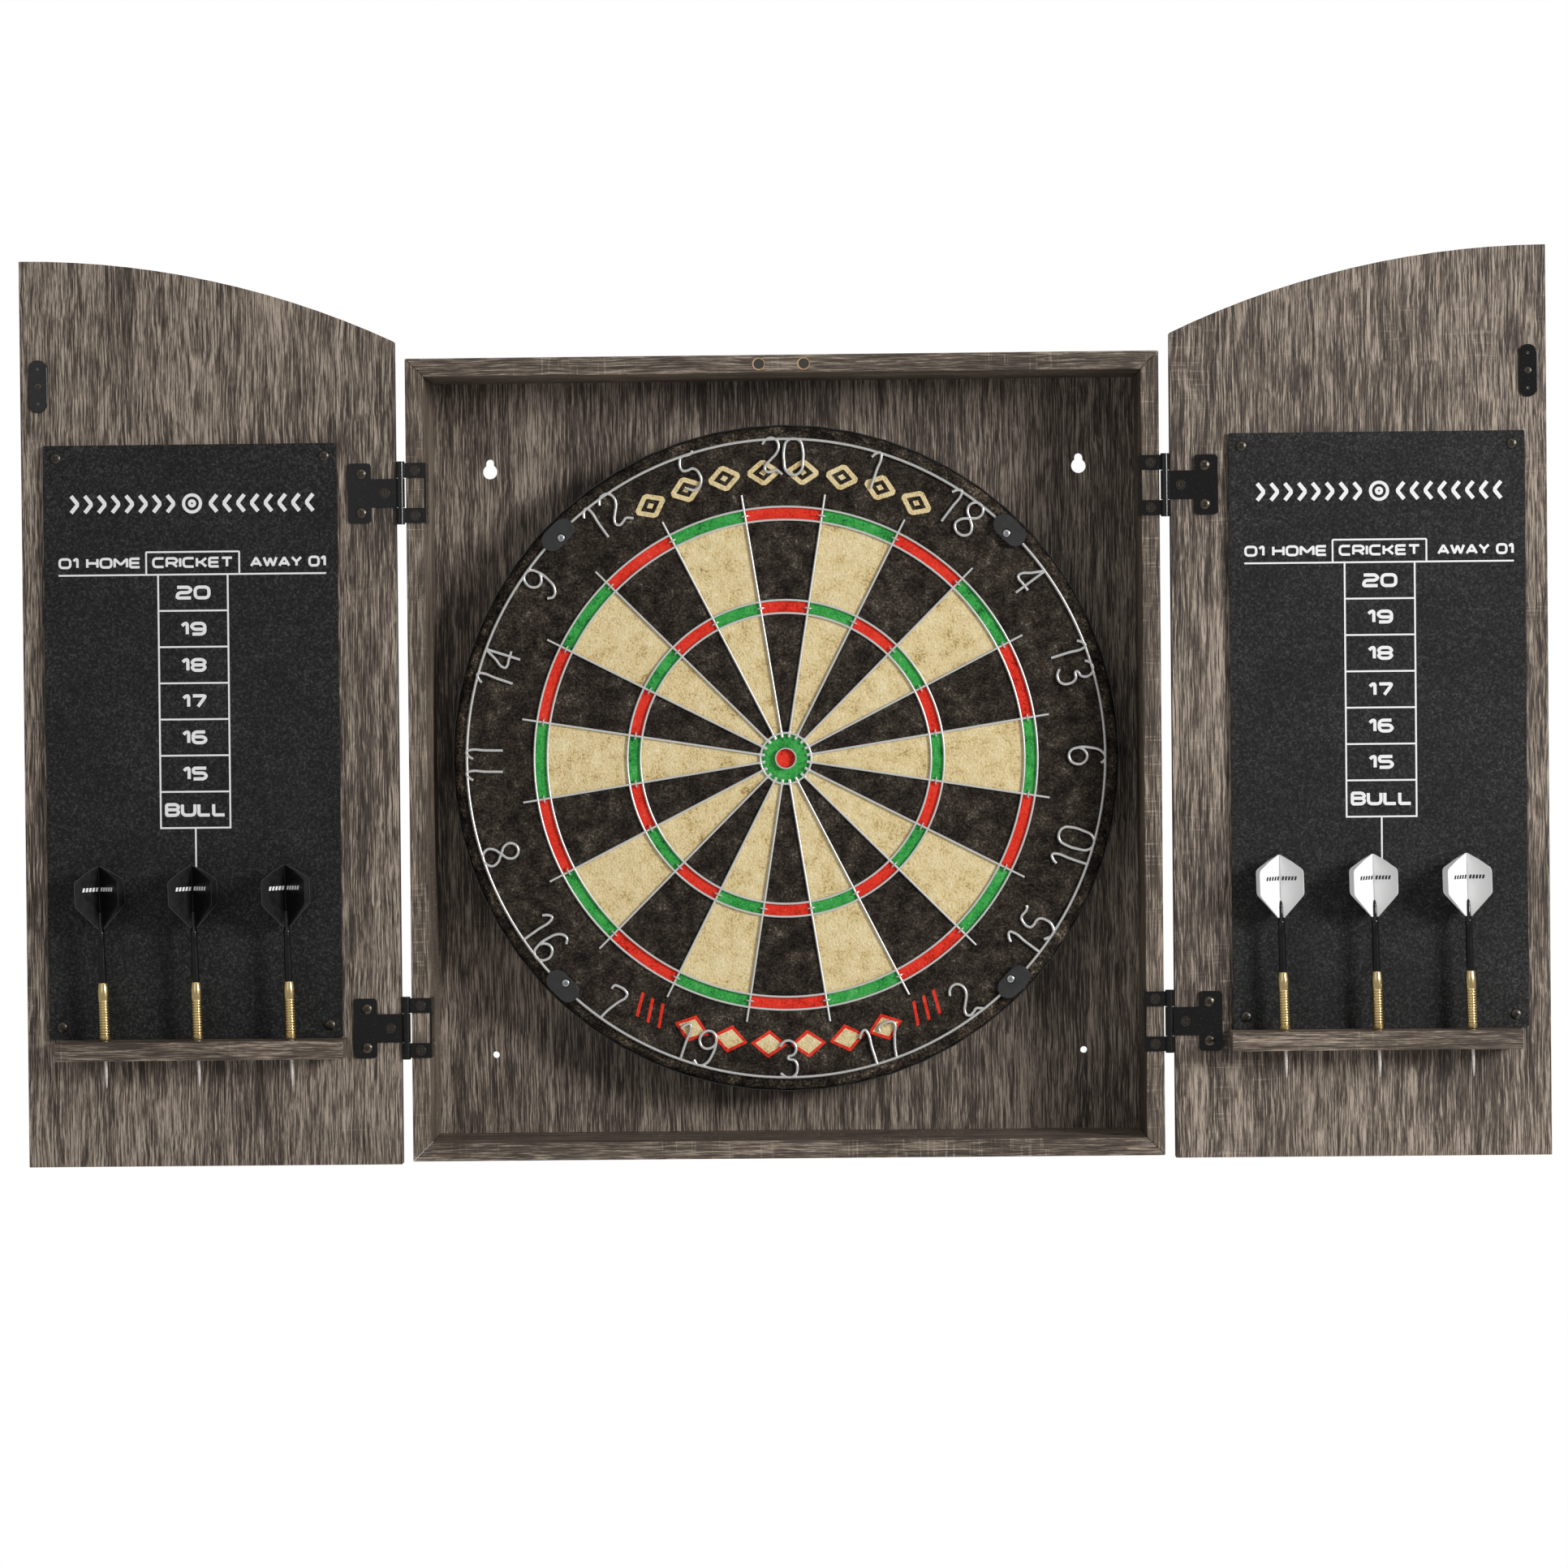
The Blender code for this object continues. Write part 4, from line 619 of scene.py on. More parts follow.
def dress_cabinet():
    """Boards, magnets and the parts behind the dartboard keep their CAD shape; hinges, strike
    plates and clips get eased edges."""
    # Grain direction, where in the print the board was cut, share of saw marks, tones.
    boards = {
        "frame_top_rail": ("X", (0.31, 0.0, 0.13), 1.0, RAIL_TONES),
        "frame_bottom_rail": ("X", (0.77, 0.0, 0.41), 1.0, RAIL_TONES),
        "frame_left_side": ("Z", (0.0, 0.0, 0.23), 1.1, RAIL_TONES),
        "frame_right_side": ("Z", (0.37, 0.0, 0.61), 1.1, RAIL_TONES),
        "back_panel": ("Z", (1.3, 0.0, 0.9), 0.2, OAK_TONES),
        "door_left": ("Z", (2.1, 0.0, 0.37), 0.15, OAK_TONES),
        "door_right": ("Z", (2.9, 0.0, 1.71), 0.35, OAK_TONES),
        "dart_holder_left": ("X", (0.5, 0.0, 1.1), 0.9, RAIL_TONES),
        "dart_holder_right": ("X", (1.5, 0.0, 1.9), 0.9, RAIL_TONES),
    }
    for name, (grain, start, saw_marks, tones) in boards.items():
        coat(name, oak_laminate(f"oak_laminate_{name}", grain, start, saw_marks, tones))
    slot = "black_hinge_steel"
    for side_name in SIDES:
        door_body = f"{side_name}_door"
        coat(f"scoreboard_{side_name}", CHALK_BOARD)
        coat(f"catch_magnet_{side_name}", MAGNET)
        for level in ("upper", "lower"):
            stem = f"hinge_{side_name}_{level}"
            smooth_node(f"{stem}_pin", "cabinet", slot, BARREL_STEEL, 0.4 * MM)
            smooth_node(f"{stem}_frame_leaf", "cabinet", slot, BLACK_STEEL, 0.22 * MM)
            smooth_node(f"{stem}_door_leaf", door_body, slot, BLACK_STEEL, 0.22 * MM)
        smooth_node(f"strike_plate_{side_name}", door_body, slot, BLACK_STEEL, 0.3 * MM)
    for index in (1, 2, 3, 4):
        smooth_node(f"ring_clip_{index}", f"ring_clip_{index}", "clip_plastic", CLIP, 0.4 * MM)
    for index in (1, 2, 3):
        coat(f"board_pad_{index}", RUBBER)
    coat("board_bracket", ZINC)
    coat("board_hanger_screw", ZINC)
    coat("board_backing", CHIPBOARD)
    coat("board_band", BLACK_BAND)


# ---------------------------------------------------------------- dartboard
def sisal_face():
    """Sisal disc in its dyed beds, with a rounded and worn rim outside the number ring."""
    edge = 6 * MM
    worn_from = SISAL_RADIUS - 10 * MM
    bull_edge = (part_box("bull_ring")[1].x + INNER_BULL) / 2
    depth = -BOARD_FACE
    rounding = []
    for degrees in range(0, 91, 15):
        out, up = on_circle(edge, degrees)
        rounding.append((SISAL_RADIUS - edge + out, depth - edge + up))
    levels = [worn_from, *reversed(DOUBLE_WIRES), *reversed(TREBLE_WIRES), OUTER_BULL_WIRE,
              bull_edge, 0.0]
    profile = [(0.0, -SISAL_BACK), (SISAL_RADIUS, -SISAL_BACK), *rounding,
               *((radius, depth) for radius in levels)]
    steps_per_sector = 6
    bm = turned(profile, 20 * steps_per_sector)
    # The first edge between two beds lies half a sector from the X axis.
    spun(bm, SECTOR / 2, "Z")
    natural, black, red, green, rim = range(5)
    for face in bm.faces:
        centre = face.calc_center_median()
        radius = math.hypot(centre.x, centre.y)
        clockwise = (math.radians(90) - math.atan2(centre.y, centre.x)) % (2 * math.pi)
        dark = int((clockwise + SECTOR / 2) // SECTOR) % 20 % 2 == 0
        if centre.z < depth - 0.1 * MM or radius > worn_from:
            face.material_index = rim
        elif radius > DOUBLE_WIRES[1]:
            face.material_index = black
        elif radius < bull_edge:
            face.material_index = red
        elif radius < OUTER_BULL_WIRE:
            face.material_index = green
        elif DOUBLE_WIRES[0] < radius or TREBLE_WIRES[0] < radius < TREBLE_WIRES[1]:
            face.material_index = red if dark else green
        else:
            face.material_index = black if dark else natural
    piece("sisal_beds", face_viewer(bm), "dartboard", "sisal", NATURAL, BLACK, RED, GREEN, WORN_RIM,
          replaces=["board_sisal"])


def scoring_wires():
    """Round wire web: five rings, twenty spokes with pinched ends, and the staples that hold it."""
    radius = (WIRE_BACK - WIRE_FRONT) / 2
    lift = -(WIRE_BACK + WIRE_FRONT) / 2
    shapes = []
    around = [2 * math.pi * step / 8 for step in range(8)]
    for ring_radius in (OUTER_BULL_WIRE, *TREBLE_WIRES, *DOUBLE_WIRES):
        section = [(ring_radius + radius * math.cos(angle), lift + radius * math.sin(angle))
                   for angle in around]
        shapes.append(turned(section, 160, ring=True))
    tip = 4.6 * MM
    for index in range(20):
        angle = (index + 0.5) * SECTOR
        inner, outer = SPOKE_ENDS
        spoke = bent_wire([[(inner, 0.0, 0.0), (outer, 0.0, 0.0)]], radius, "VECTOR")
        moved(spoke, (0, 0, lift))
        shapes.append(spun(spoke, angle, "Z"))
        # Flattened tip over the bull wire.
        flat = bmesh.new()
        bmesh.ops.create_cube(flat, size=1.0)
        bmesh.ops.scale(flat, vec=(tip, 2.5 * radius, 1.3 * radius), verts=flat.verts)
        eased(flat, 0.4 * radius)
        moved(flat, (inner + tip / 2 - 0.3 * MM, 0, lift + 0.1 * MM))
        shapes.append(spun(flat, angle, "Z"))
        for reach in (sum(TREBLE_WIRES) / 2, sum(DOUBLE_WIRES) / 2):
            shapes.append(staple(reach, angle, lift, radius))
    piece("scoring_wires", face_viewer(together(shapes)), "dartboard", "plated_wire", BRIGHT_WIRE,
          replaces=["spider_wire"], sharp=50)


def staple(reach, angle, lift, radius):
    """Thin wire arch across one spoke, its legs driven into the sisal."""
    half = 2.5 * MM
    crown = lift + radius + 0.5 * MM
    foot = -BOARD_FACE - 1.0 * MM
    shoulder = crown - 0.7 * MM
    arch = bent_wire([[(0, -half, foot), (0, -half * 0.8, shoulder), (0, 0, crown),
                       (0, half * 0.8, shoulder), (0, half, foot)]], 0.55 * MM,
                     sides=1, fineness=3, capped=False)
    moved(arch, (reach, 0, 0))
    return spun(arch, angle, "Z")


def bull_ring():
    """Raised bright ring round the inner bull."""
    low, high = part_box("bull_ring")
    outer = high.x
    inner = INNER_BULL
    back, front = -high.y, -low.y
    ease = 0.25 * MM
    profile = [(inner, back), (outer, back), (outer, front - ease), (outer - ease, front),
               (inner + ease, front), (inner, front - ease)]
    piece("bull_ring_band", face_viewer(turned(profile, 48, ring=True)), "dartboard", "plated_wire",
          BRIGHT_WIRE, replaces=["bull_ring"])


# Bent-wire digits in millimetres, standing on Y = 0 and centred on X = 0.
WIRE_DIGITS = {
    "0": [[(0, 24.5), (4.4, 22.8), (6.2, 18), (6.4, 9), (5.0, 2.8), (0, 0), (-5.0, 2.8), (-6.4, 9),
           (-6.2, 18), (-4.4, 22.8), (0, 24.5)]],
    "1": [[(-5.6, 20.2), (-3.6, 23.2), (-0.8, 24.7), (0.4, 23.0), (0.2, 12), (0.0, 0)]],
    "2": [[(-6.6, 20.8), (-4.2, 24.0), (-0.6, 25.2), (3.0, 23.4), (4.4, 19.2), (3.0, 15.0),
           (-1.2, 10.4), (-4.4, 6.8), (-5.0, 4.0), (-3.4, 2.2), (-0.4, 2.5), (2.8, 3.4),
           (4.9, 2.0), (6.8, 0.2)]],
    "3": [[(-5.6, 21.0), (-3.0, 24.2), (1.4, 24.6), (4.8, 21.0), (3.8, 15.8), (-0.6, 13.2),
           (4.2, 11.2), (5.8, 6.4), (3.8, 1.2), (-1.0, 0), (-5.6, 2.8)]],
    "4": [[(2.6, 24.5), (2.6, 12), (2.6, 0)],
          [(2.2, 24.0), (-1.8, 16.5), (-5.8, 9.2), (-5.0, 7.6), (0.4, 7.4), (6.2, 7.4)]],
    "5": [[(6.2, 25.8), (4.6, 24.2), (-2.4, 23.8), (-3.8, 22.2), (-4.4, 15.2), (-2.2, 14.2),
           (3.2, 14.0), (5.8, 9.4), (4.8, 3.0), (0.2, 0), (-5.6, 2.8)]],
    "6": [[(5.2, 21.6), (1.8, 24.4), (-2.8, 22.0), (-5.4, 14), (-5.4, 6), (-3.0, 0.8), (2.0, 0.2),
           (5.4, 4), (4.9, 9.4), (0.4, 12.2), (-4.0, 9.8), (-5.4, 7.0)]],
    "7": [[(-5.8, 20.6), (-5.4, 23.4), (-3.4, 24.4), (3.8, 24.4), (5.4, 22.8), (3.0, 15), (0.6, 7),
           (-0.6, 0)]],
    "8": [[(0, 12.6), (4.4, 16.4), (4.8, 21.4), (0, 24.6), (-4.8, 21.4), (-4.4, 16.4), (0, 12.6),
           (5.0, 8.0), (5.6, 3.4), (0, 0), (-5.6, 3.4), (-5.0, 8.0), (0, 12.6)]],
    "9": [[(-5.4, 2.6), (-1.8, 0), (2.8, 2.4), (5.4, 10), (5.4, 18), (3.0, 23.4), (-2.0, 24.2),
           (-5.4, 20.4), (-4.9, 14.8), (-0.4, 12.2), (4.0, 14.6), (5.4, 17.0)]],
}


def number_ring():
    """Wire ring with its twenty numbers bent from the same wire and welded inside it."""
    low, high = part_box("number_ring")
    radius = (high.y - low.y) / 2
    lift = -(high.y + low.y) / 2
    ring_radius = RING_REACH - radius
    digit_radius = 1.05 * MM
    height = 24.4 * MM
    pitch = 14.4 * MM
    section = [(ring_radius + radius * math.cos(2 * math.pi * step / 10),
                lift + radius * math.sin(2 * math.pi * step / 10)) for step in range(10)]
    shapes = [turned(section, 180, ring=True)]
    for index, number in enumerate(NUMBERS):
        clockwise = index * SECTOR
        digits = str(number)
        paths = []
        for place, digit in enumerate(digits):
            across = (place - (len(digits) - 1) / 2) * pitch
            for path in WIRE_DIGITS[digit]:
                paths.append([(across + x * MM, y * MM, 0.0) for x, y in path])
        number_bm = bent_wire(paths, digit_radius)
        if number in TOPS_INWARD:
            # Tops towards the bull: the feet stand on the ring.
            spun(number_bm, math.pi, "Z")
            moved(number_bm, (0, ring_radius, 0))
        else:
            moved(number_bm, (0, ring_radius - height, 0))
        moved(number_bm, (0, 0, lift))
        shapes.append(spun(number_bm, -clockwise, "Z"))
    piece("number_ring_wire", face_viewer(together(shapes)), "dartboard", "plated_wire", RING_WIRE,
          replaces=["number_ring"], sharp=60)


def lozenge(long, high):
    """Four-cornered mark with pointed ends."""
    return [(-long / 2, 0), (0, -high / 2), (long / 2, 0), (0, high / 2)]


def border_marks():
    """Sand-coloured ornament printed on the black border: outlined lozenges above, and below
    solid ones edged in red between red slashes."""
    ink = 0.12 * MM
    reach = 193.5 * MM
    sand, red = [], []

    def mark(outline, group, angle, proud=1.0):
        bm = slab(in_mm(outline), ink * proud)
        moved(bm, (0, BOARD_FACE - ink * proud, reach))
        group.append(spun(bm, angle))

    pitch = math.radians(7.9)
    for step in range(8):
        angle = (step - 3.5) * pitch
        corners = lozenge(20, 15)
        run = stroke([in_mm([*corners, corners[0]])], 3.2 * MM, ink)
        moved(face_viewer(run), (0, BOARD_FACE - ink / 2, reach))
        sand.append(spun(run, angle))
        mark(lozenge(5.6, 4.4), sand, angle)
    for step in range(6):
        angle = math.pi + (step - 2.5) * pitch
        mark(lozenge(24.5, 19), red, angle, 0.5)
        mark(lozenge(18.5, 13.5), sand, angle)
    for side in (-1, 1):
        for step in range(3):
            slash = [(-3.4, -8), (-1.2, -8), (3.4, 8), (1.2, 8)]
            angle = math.pi + side * (3.35 + 0.3 * step) * pitch
            mark([(-side * x, z) for x, z in slash], red, angle)
    piece("border_marks_sand", together(sand), "dartboard", "sisal", NATURAL)
    piece("border_marks_red", together(red), "dartboard", "sisal", RED)


# ---------------------------------------------------------------- scoreboards
# Letters one high: width, then strokes as (x, y) points; CUT is taken off round corners.
CUT = 0.2
GLYPHS = {
    "0": (1.15, [[(CUT, 0), (1.15 - CUT, 0), (1.15, CUT), (1.15, 1 - CUT), (1.15 - CUT, 1),
                  (CUT, 1), (0, 1 - CUT), (0, CUT), (CUT, 0)]]),
    "1": (0.42, [[(0, 0.78), (0.2, 1), (0.42, 1), (0.42, 0)]]),
    "2": (1.15, [[(0, 1), (1.15 - CUT, 1), (1.15, 1 - CUT), (1.15, 0.5 + CUT), (1.15 - CUT, 0.5),
                  (CUT, 0.5), (0, 0.5 - CUT), (0, 0), (1.15, 0)]]),
    "5": (1.05, [[(1.05, 1), (0, 1), (0, 0.55), (1.05 - CUT, 0.55), (1.05, 0.55 - CUT),
                  (1.05, CUT), (1.05 - CUT, 0), (0, 0)]]),
    "6": (1.05, [[(1.0, 1), (CUT, 1), (0, 1 - CUT), (0, CUT), (CUT, 0), (1.05 - CUT, 0),
                  (1.05, CUT), (1.05, 0.55 - CUT), (1.05 - CUT, 0.55), (0.05, 0.55)]]),
    "7": (1.0, [[(0, 1), (1.0, 1), (1.0, 0.86), (0.42, 0)]]),
    "8": (1.05, [[(CUT, 0), (1.05 - CUT, 0), (1.05, CUT), (1.05, 0.3), (0.9, 0.5), (1.05, 0.7),
                  (1.05, 1 - CUT), (1.05 - CUT, 1), (CUT, 1), (0, 1 - CUT), (0, 0.7), (0.15, 0.5),
                  (0, 0.3), (0, CUT), (CUT, 0)],
                 [(0.15, 0.5), (0.9, 0.5)]]),
    "9": (1.05, [[(0.05, 0), (1.05 - CUT, 0), (1.05, CUT), (1.05, 1 - CUT), (1.05 - CUT, 1),
                  (CUT, 1), (0, 1 - CUT), (0, 0.45 + CUT), (CUT, 0.45), (1.0, 0.45)]]),
    "A": (1.25, [[(0, 0), (0.625, 1), (1.25, 0)],
                 [(0.24, 0.28), (1.01, 0.28)]]),
    "B": (1.1, [[(0, 0), (0, 1), (1.1 - CUT, 1), (1.1, 1 - CUT), (1.1, 0.7), (0.95, 0.52),
                 (1.1, 0.34), (1.1, CUT), (1.1 - CUT, 0), (0, 0)],
                [(0, 0.52), (0.95, 0.52)]]),
    "C": (1.1, [[(1.1, 1), (CUT, 1), (0, 1 - CUT), (0, CUT), (CUT, 0), (1.1, 0)]]),
    "E": (1.0, [[(1.0, 1), (0, 1), (0, 0), (1.0, 0)],
                [(0, 0.5), (0.95, 0.5)]]),
    "H": (1.1, [[(0, 0), (0, 1)],
                [(1.1, 0), (1.1, 1)],
                [(0, 0.5), (1.1, 0.5)]]),
    "I": (0.0, [[(0, 0), (0, 1)]]),
    "K": (1.0, [[(0, 0), (0, 1)],
                [(1.0, 1), (0.45, 0.52), (1.0, 0)],
                [(0, 0.52), (0.5, 0.52)]]),
    "L": (1.0, [[(0, 1), (0, 0), (1.0, 0)]]),
    "M": (1.35, [[(0, 0), (0, 1), (0.675, 0.3), (1.35, 1), (1.35, 0)]]),
    "R": (1.1, [[(0, 0), (0, 1), (1.1 - CUT, 1), (1.1, 1 - CUT), (1.1, 0.62), (1.1 - CUT, 0.44),
                 (0, 0.44)],
                [(0.6, 0.44), (1.1, 0)]]),
    "T": (1.1, [[(0, 1), (1.1, 1)],
                [(0.55, 1), (0.55, 0)]]),
    "U": (1.15, [[(0, 1), (0, CUT), (CUT, 0), (1.15 - CUT, 0), (1.15, CUT), (1.15, 1)]]),
    "W": (1.6, [[(0, 1), (0.42, 0), (0.8, 0.92), (1.18, 0), (1.6, 1)]]),
    "Y": (1.15, [[(0, 1), (0.57, 0.46), (1.15, 1)],
                 [(0.57, 0.46), (0.57, 0)]]),
    " ": (0.35, []),
}
GLYPHS["O"] = GLYPHS["0"]
LETTER_GAP = 0.36


def lettering(text, left, right, bottom, top, weight):
    """Stroke paths of a word that fills the given box, outer edges of its ink included."""
    height = top - bottom - weight
    widths = [GLYPHS[letter][0] for letter in text]
    natural = sum(widths) + LETTER_GAP * (len(text) - 1)
    stretch = (right - left - weight) / natural
    paths = []
    start = left + weight / 2
    for letter, width in zip(text, widths):
        for path in GLYPHS[letter][1]:
            paths.append([(start + x * stretch, bottom + weight / 2 + y * height) for x, y in path])
        start += (width + LETTER_GAP) * stretch
    return paths


def score_print(side_name):
    """Printed scoring column, headings and a plain target ornament on one scoreboard."""
    low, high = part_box(f"scoreboard_{side_name}")
    left = low.x + 9.8 * MM
    right = high.x - 7.7 * MM
    width = right - left
    top = high.z
    rule = 1.15 * MM
    underline = top - 86.8 * MM
    heading = (underline + 4.4 * MM, underline + 11.7 * MM)
    ink = 0.2 * MM
    centre = left + width * 0.502
    half_box = width * 0.174
    half_column = width * 0.130
    cell = 24.2 * MM
    box_top = underline + 15.1 * MM
    box_left, box_right = centre - half_box, centre + half_box
    thin = [[(left, underline), (right, underline)],
            [(box_left, underline), (box_left, box_top), (box_right, box_top),
             (box_right, underline)]]
    labels = {"20": 23.4, "19": 17.4, "18": 17.0, "17": 16.4, "16": 17.0, "15": 17.0, "BULL": 41}
    foot = underline - cell * len(labels)
    for side in (-1, 1):
        thin.append([(centre + side * half_column, underline), (centre + side * half_column, foot)])
    half_rule = half_column + rule / 2
    for row in range(1, len(labels) + 1):
        height = underline - row * cell
        thin.append([(centre - half_rule, height), (centre + half_rule, height)])
    thin.append([(centre, foot), (centre, foot - 42 * MM)])
    shapes = [stroke(thin, rule, ink)]

    weight = 1.65 * MM
    words = [("01 HOME", left, left + width * 0.308),
             ("CRICKET", box_left + 4 * MM, box_right - 4 * MM),
             ("AWAY 01", right - width * 0.284, right)]
    paths = []
    for text, start, end in words:
        paths += lettering(text, start, end, *heading, weight)
    shapes.append(stroke(paths, weight, ink))

    weight = 2.15 * MM
    tall = 9.3 * MM
    paths = []
    for row, (text, long) in enumerate(labels.items()):
        line = underline - (row + 0.5) * cell
        half = long * MM / 2
        paths += lettering(text, centre - half, centre + half, line - tall / 2, line + tall / 2,
                           weight)
    shapes.append(stroke(paths, weight, ink))

    # Heading ornament: a target between two runs of chevrons.
    heart = top - 39.4 * MM
    rings = []
    for radius in (1.7 * MM, 5.7 * MM):
        ring = [on_circle(radius, degrees) for degrees in range(0, 360, 15)]
        ring = [(centre + x, heart + z) for x, z in ring]
        rings.append(ring + ring[:1])
    shapes.append(stroke(rings, 2.1 * MM, ink))
    chevrons = []
    for side in (-1, 1):
        for step in range(8):
            tip = centre + side * (12 + 9.2 * step) * MM
            tail = tip + side * 4.6 * MM
            chevrons.append([(tail, heart + 5.6 * MM), (tip, heart), (tail, heart - 5.6 * MM)])
    shapes.append(stroke(chevrons, 2.6 * MM, ink))
    bm = face_viewer(together(shapes))
    moved(bm, (0, low.y, 0))
    piece(f"score_print_{side_name}", bm, f"{side_name}_door", "black_scoreboard", INK)


# ---------------------------------------------------------------- screws
def cross_tool(length, width, depth):
    """Cross-shaped bit that narrows downwards from its mouth above Z = 0."""
    far, near = length / 2, width / 2
    corner = [(far, -near), (far, near), (near, near)]
    outline = []
    for quarter in range(4):
        for x, y in corner:
            for _ in range(quarter):
                x, y = -y, x
            outline.append((x, y))
    bm = bmesh.new()
    face = bm.faces.new([bm.verts.new((x, y, depth)) for x, y in outline])
    grown = bmesh.ops.extrude_face_region(bm, geom=[face])["geom"]
    lower = [item for item in grown if isinstance(item, bmesh.types.BMVert)]
    bmesh.ops.translate(bm, vec=(0, 0, -2 * depth), verts=lower)
    bmesh.ops.scale(bm, vec=(0.55, 0.55, 1), verts=lower)
    return bm


def crossed(head, radius, height):
    """Head with a cross recess cut in it."""
    tool = cross_tool(radius * 1.24, radius * 0.3, 1.3 * MM)
    moved(tool, (0, 0, height))
    return cut(head, tool)


def screw_head(radius, height, sink):
    """Domed head above Z = 0 with a cross recess; sink is how far it reaches below."""
    dome = [(0.0, height)]
    for degrees in (75, 60, 45, 30, 15, 5):
        out, up = on_circle(1.0, degrees)
        dome.append((radius * out, height * up))
    profile = [*dome, (radius, -0.1 * MM), (radius * 0.6, -sink), (0.0, -sink)]
    return crossed(turned(profile, 24), radius, height)


def countersunk_head(radius):
    """Nearly flush head inside the bright rim of its countersink."""
    proud = 0.12 * MM
    groove = -0.15 * MM
    under = -1.4 * MM
    profile = [(0.0, proud), (radius * 0.66, proud), (radius * 0.72, groove),
               (radius * 0.8, groove), (radius * 0.84, proud), (radius * 0.96, proud),
               (radius, 0.02 * MM), (radius, groove), (radius * 0.6, under), (0.0, under)]
    return crossed(turned(profile, 24), radius, proud)


def screw_group(name, body, slot, made, head, places):
    """Copies of one screw head, each turned a little differently, facing the viewer."""
    shapes = []
    for index, (place, sideways) in enumerate(places):
        shape = head.copy()
        spun(shape, math.radians(37 * index + 11), "Z")
        face_viewer(shape)
        if sideways:
            # Faces across the cabinet instead of out of it.
            spun(shape, math.radians(90) * sideways, "Z")
        shapes.append(moved(shape, place))
    return piece(name, together(shapes), body, slot, made)


def hinge_screws(pan, flush):
    """Four screws hold each hinge's frame leaf and three its door leaf."""
    slot = "black_hinge_steel"
    for side_name, side in SIDES.items():
        door_body = f"{side_name}_door"
        for level in ("upper", "lower"):
            stem = f"hinge_{side_name}_{level}"
            axis = middle(f"{stem}_pin")
            low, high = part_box(f"{stem}_door_leaf")
            front = axis.y - 0.6 * MM
            bar_end = high.x if side > 0 else low.x
            bar = bar_end - side * 8.9 * MM
            places = [((bar, front, axis.z + height), 0) for height in (-13 * MM, 13 * MM)]
            screw_group(f"{stem}_bar_screws", door_body, slot, BRONZE_STEEL, pan, places)
            places = [((axis.x + side * 10.5 * MM, front, axis.z), 0)]
            screw_group(f"{stem}_neck_screw", door_body, slot, BRONZE_STEEL, flush, places)
            rail = middle(f"frame_{side_name}_side").x
            places = [((rail, front, axis.z + height), 0) for height in (-15.05 * MM, 15.05 * MM)]
            leaf_low, leaf_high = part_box(f"{stem}_frame_leaf")
            wall = leaf_low.x if side > 0 else leaf_high.x
            deep = leaf_high.y - 8 * MM
            places += [((wall, deep, axis.z + height), -side) for height in (-11 * MM, 11 * MM)]
            screw_group(f"{stem}_frame_screws", "cabinet", slot, BRONZE_STEEL, flush, places)


def small_screws(pan):
    """Screws of the scoreboards, strike plates and ring clips."""
    inset = 8.5 * MM
    slot = "black_hinge_steel"
    for side_name in SIDES:
        door_body = f"{side_name}_door"
        low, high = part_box(f"scoreboard_{side_name}")
        places = [((x, low.y, z), 0) for x in (low.x + inset, high.x - inset)
                  for z in (low.z + inset, high.z - inset)]
        screw_group(f"scoreboard_{side_name}_screws", door_body, slot, DARK_SCREW, pan, places)
        low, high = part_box(f"strike_plate_{side_name}")
        centre = (low + high) / 2
        tiny = screw_head(2.15 * MM, 0.3 * MM, 1.4 * MM)
        places = [((centre.x, low.y + 0.15 * MM, centre.z), 0)]
        screw_group(f"strike_{side_name}_screw", door_body, slot, BRONZE_STEEL, tiny, places)
        dents = []
        for height in (-11.6 * MM, 11.6 * MM):
            dish = turned(in_mm([(0, -0.12), (0.55, -0.02), (0.8, 0.03), (0.9, -0.2), (0, -0.3)]),
                          16)
            dents.append(moved(face_viewer(dish), (centre.x, low.y, centre.z + height)))
        piece(f"strike_{side_name}_dents", together(dents), door_body, slot, ZINC)
    for index in (1, 2, 3, 4):
        clip = f"ring_clip_{index}"
        x, z = on_circle(RING_REACH - 4.2 * MM, 45 + 90 * (index - 1))
        head = screw_head(2.6 * MM, 0.7 * MM, 1.0 * MM)
        place = (x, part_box(clip)[0].y + 0.45 * MM, z)
        screw_group(f"{clip}_screw", clip, "zinc_steel", ZINC, head, [(place, 0)])


def magnet_mouths():
    """Raw board showing round each magnet in the top rail."""
    for side_name in SIDES:
        place = middle(f"catch_magnet_{side_name}")
        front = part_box(f"catch_magnet_{side_name}")[0].y
        ring = turned(in_mm([(3.4, -0.4), (4.25, -0.4), (4.25, 0.5), (3.9, 0.5), (3.4, 0.05)]),
                      32, ring=True)
        moved(face_viewer(ring), (place.x, front, place.z))
        piece(f"magnet_mouth_{side_name}", ring, "cabinet", "dark_oak_laminate", RAW_MDF)


# ---------------------------------------------------------------- darts
def dart_frame(side_name, index):
    """Matrix from a dart's own frame, foot of the barrel at the holder's top, to its place."""
    joint = next(j for j in frame["joints"] if j["name"] == f"dart_{side_name}_{index}_lift")
    up = Vector(joint["axis"]).normalized()
    barrel = nodes[f"dart_{side_name}_{index}_barrel"].data
    tip = min(barrel.vertices, key=lambda vert: vert.co.z).co
    seat = tip - up * POINT_TIP * MM
    side = Vector((0, 1, 0)).cross(up)
    return Matrix.Translation(seat) @ Matrix((side, Vector((0, 1, 0)), up)).transposed().to_4x4()


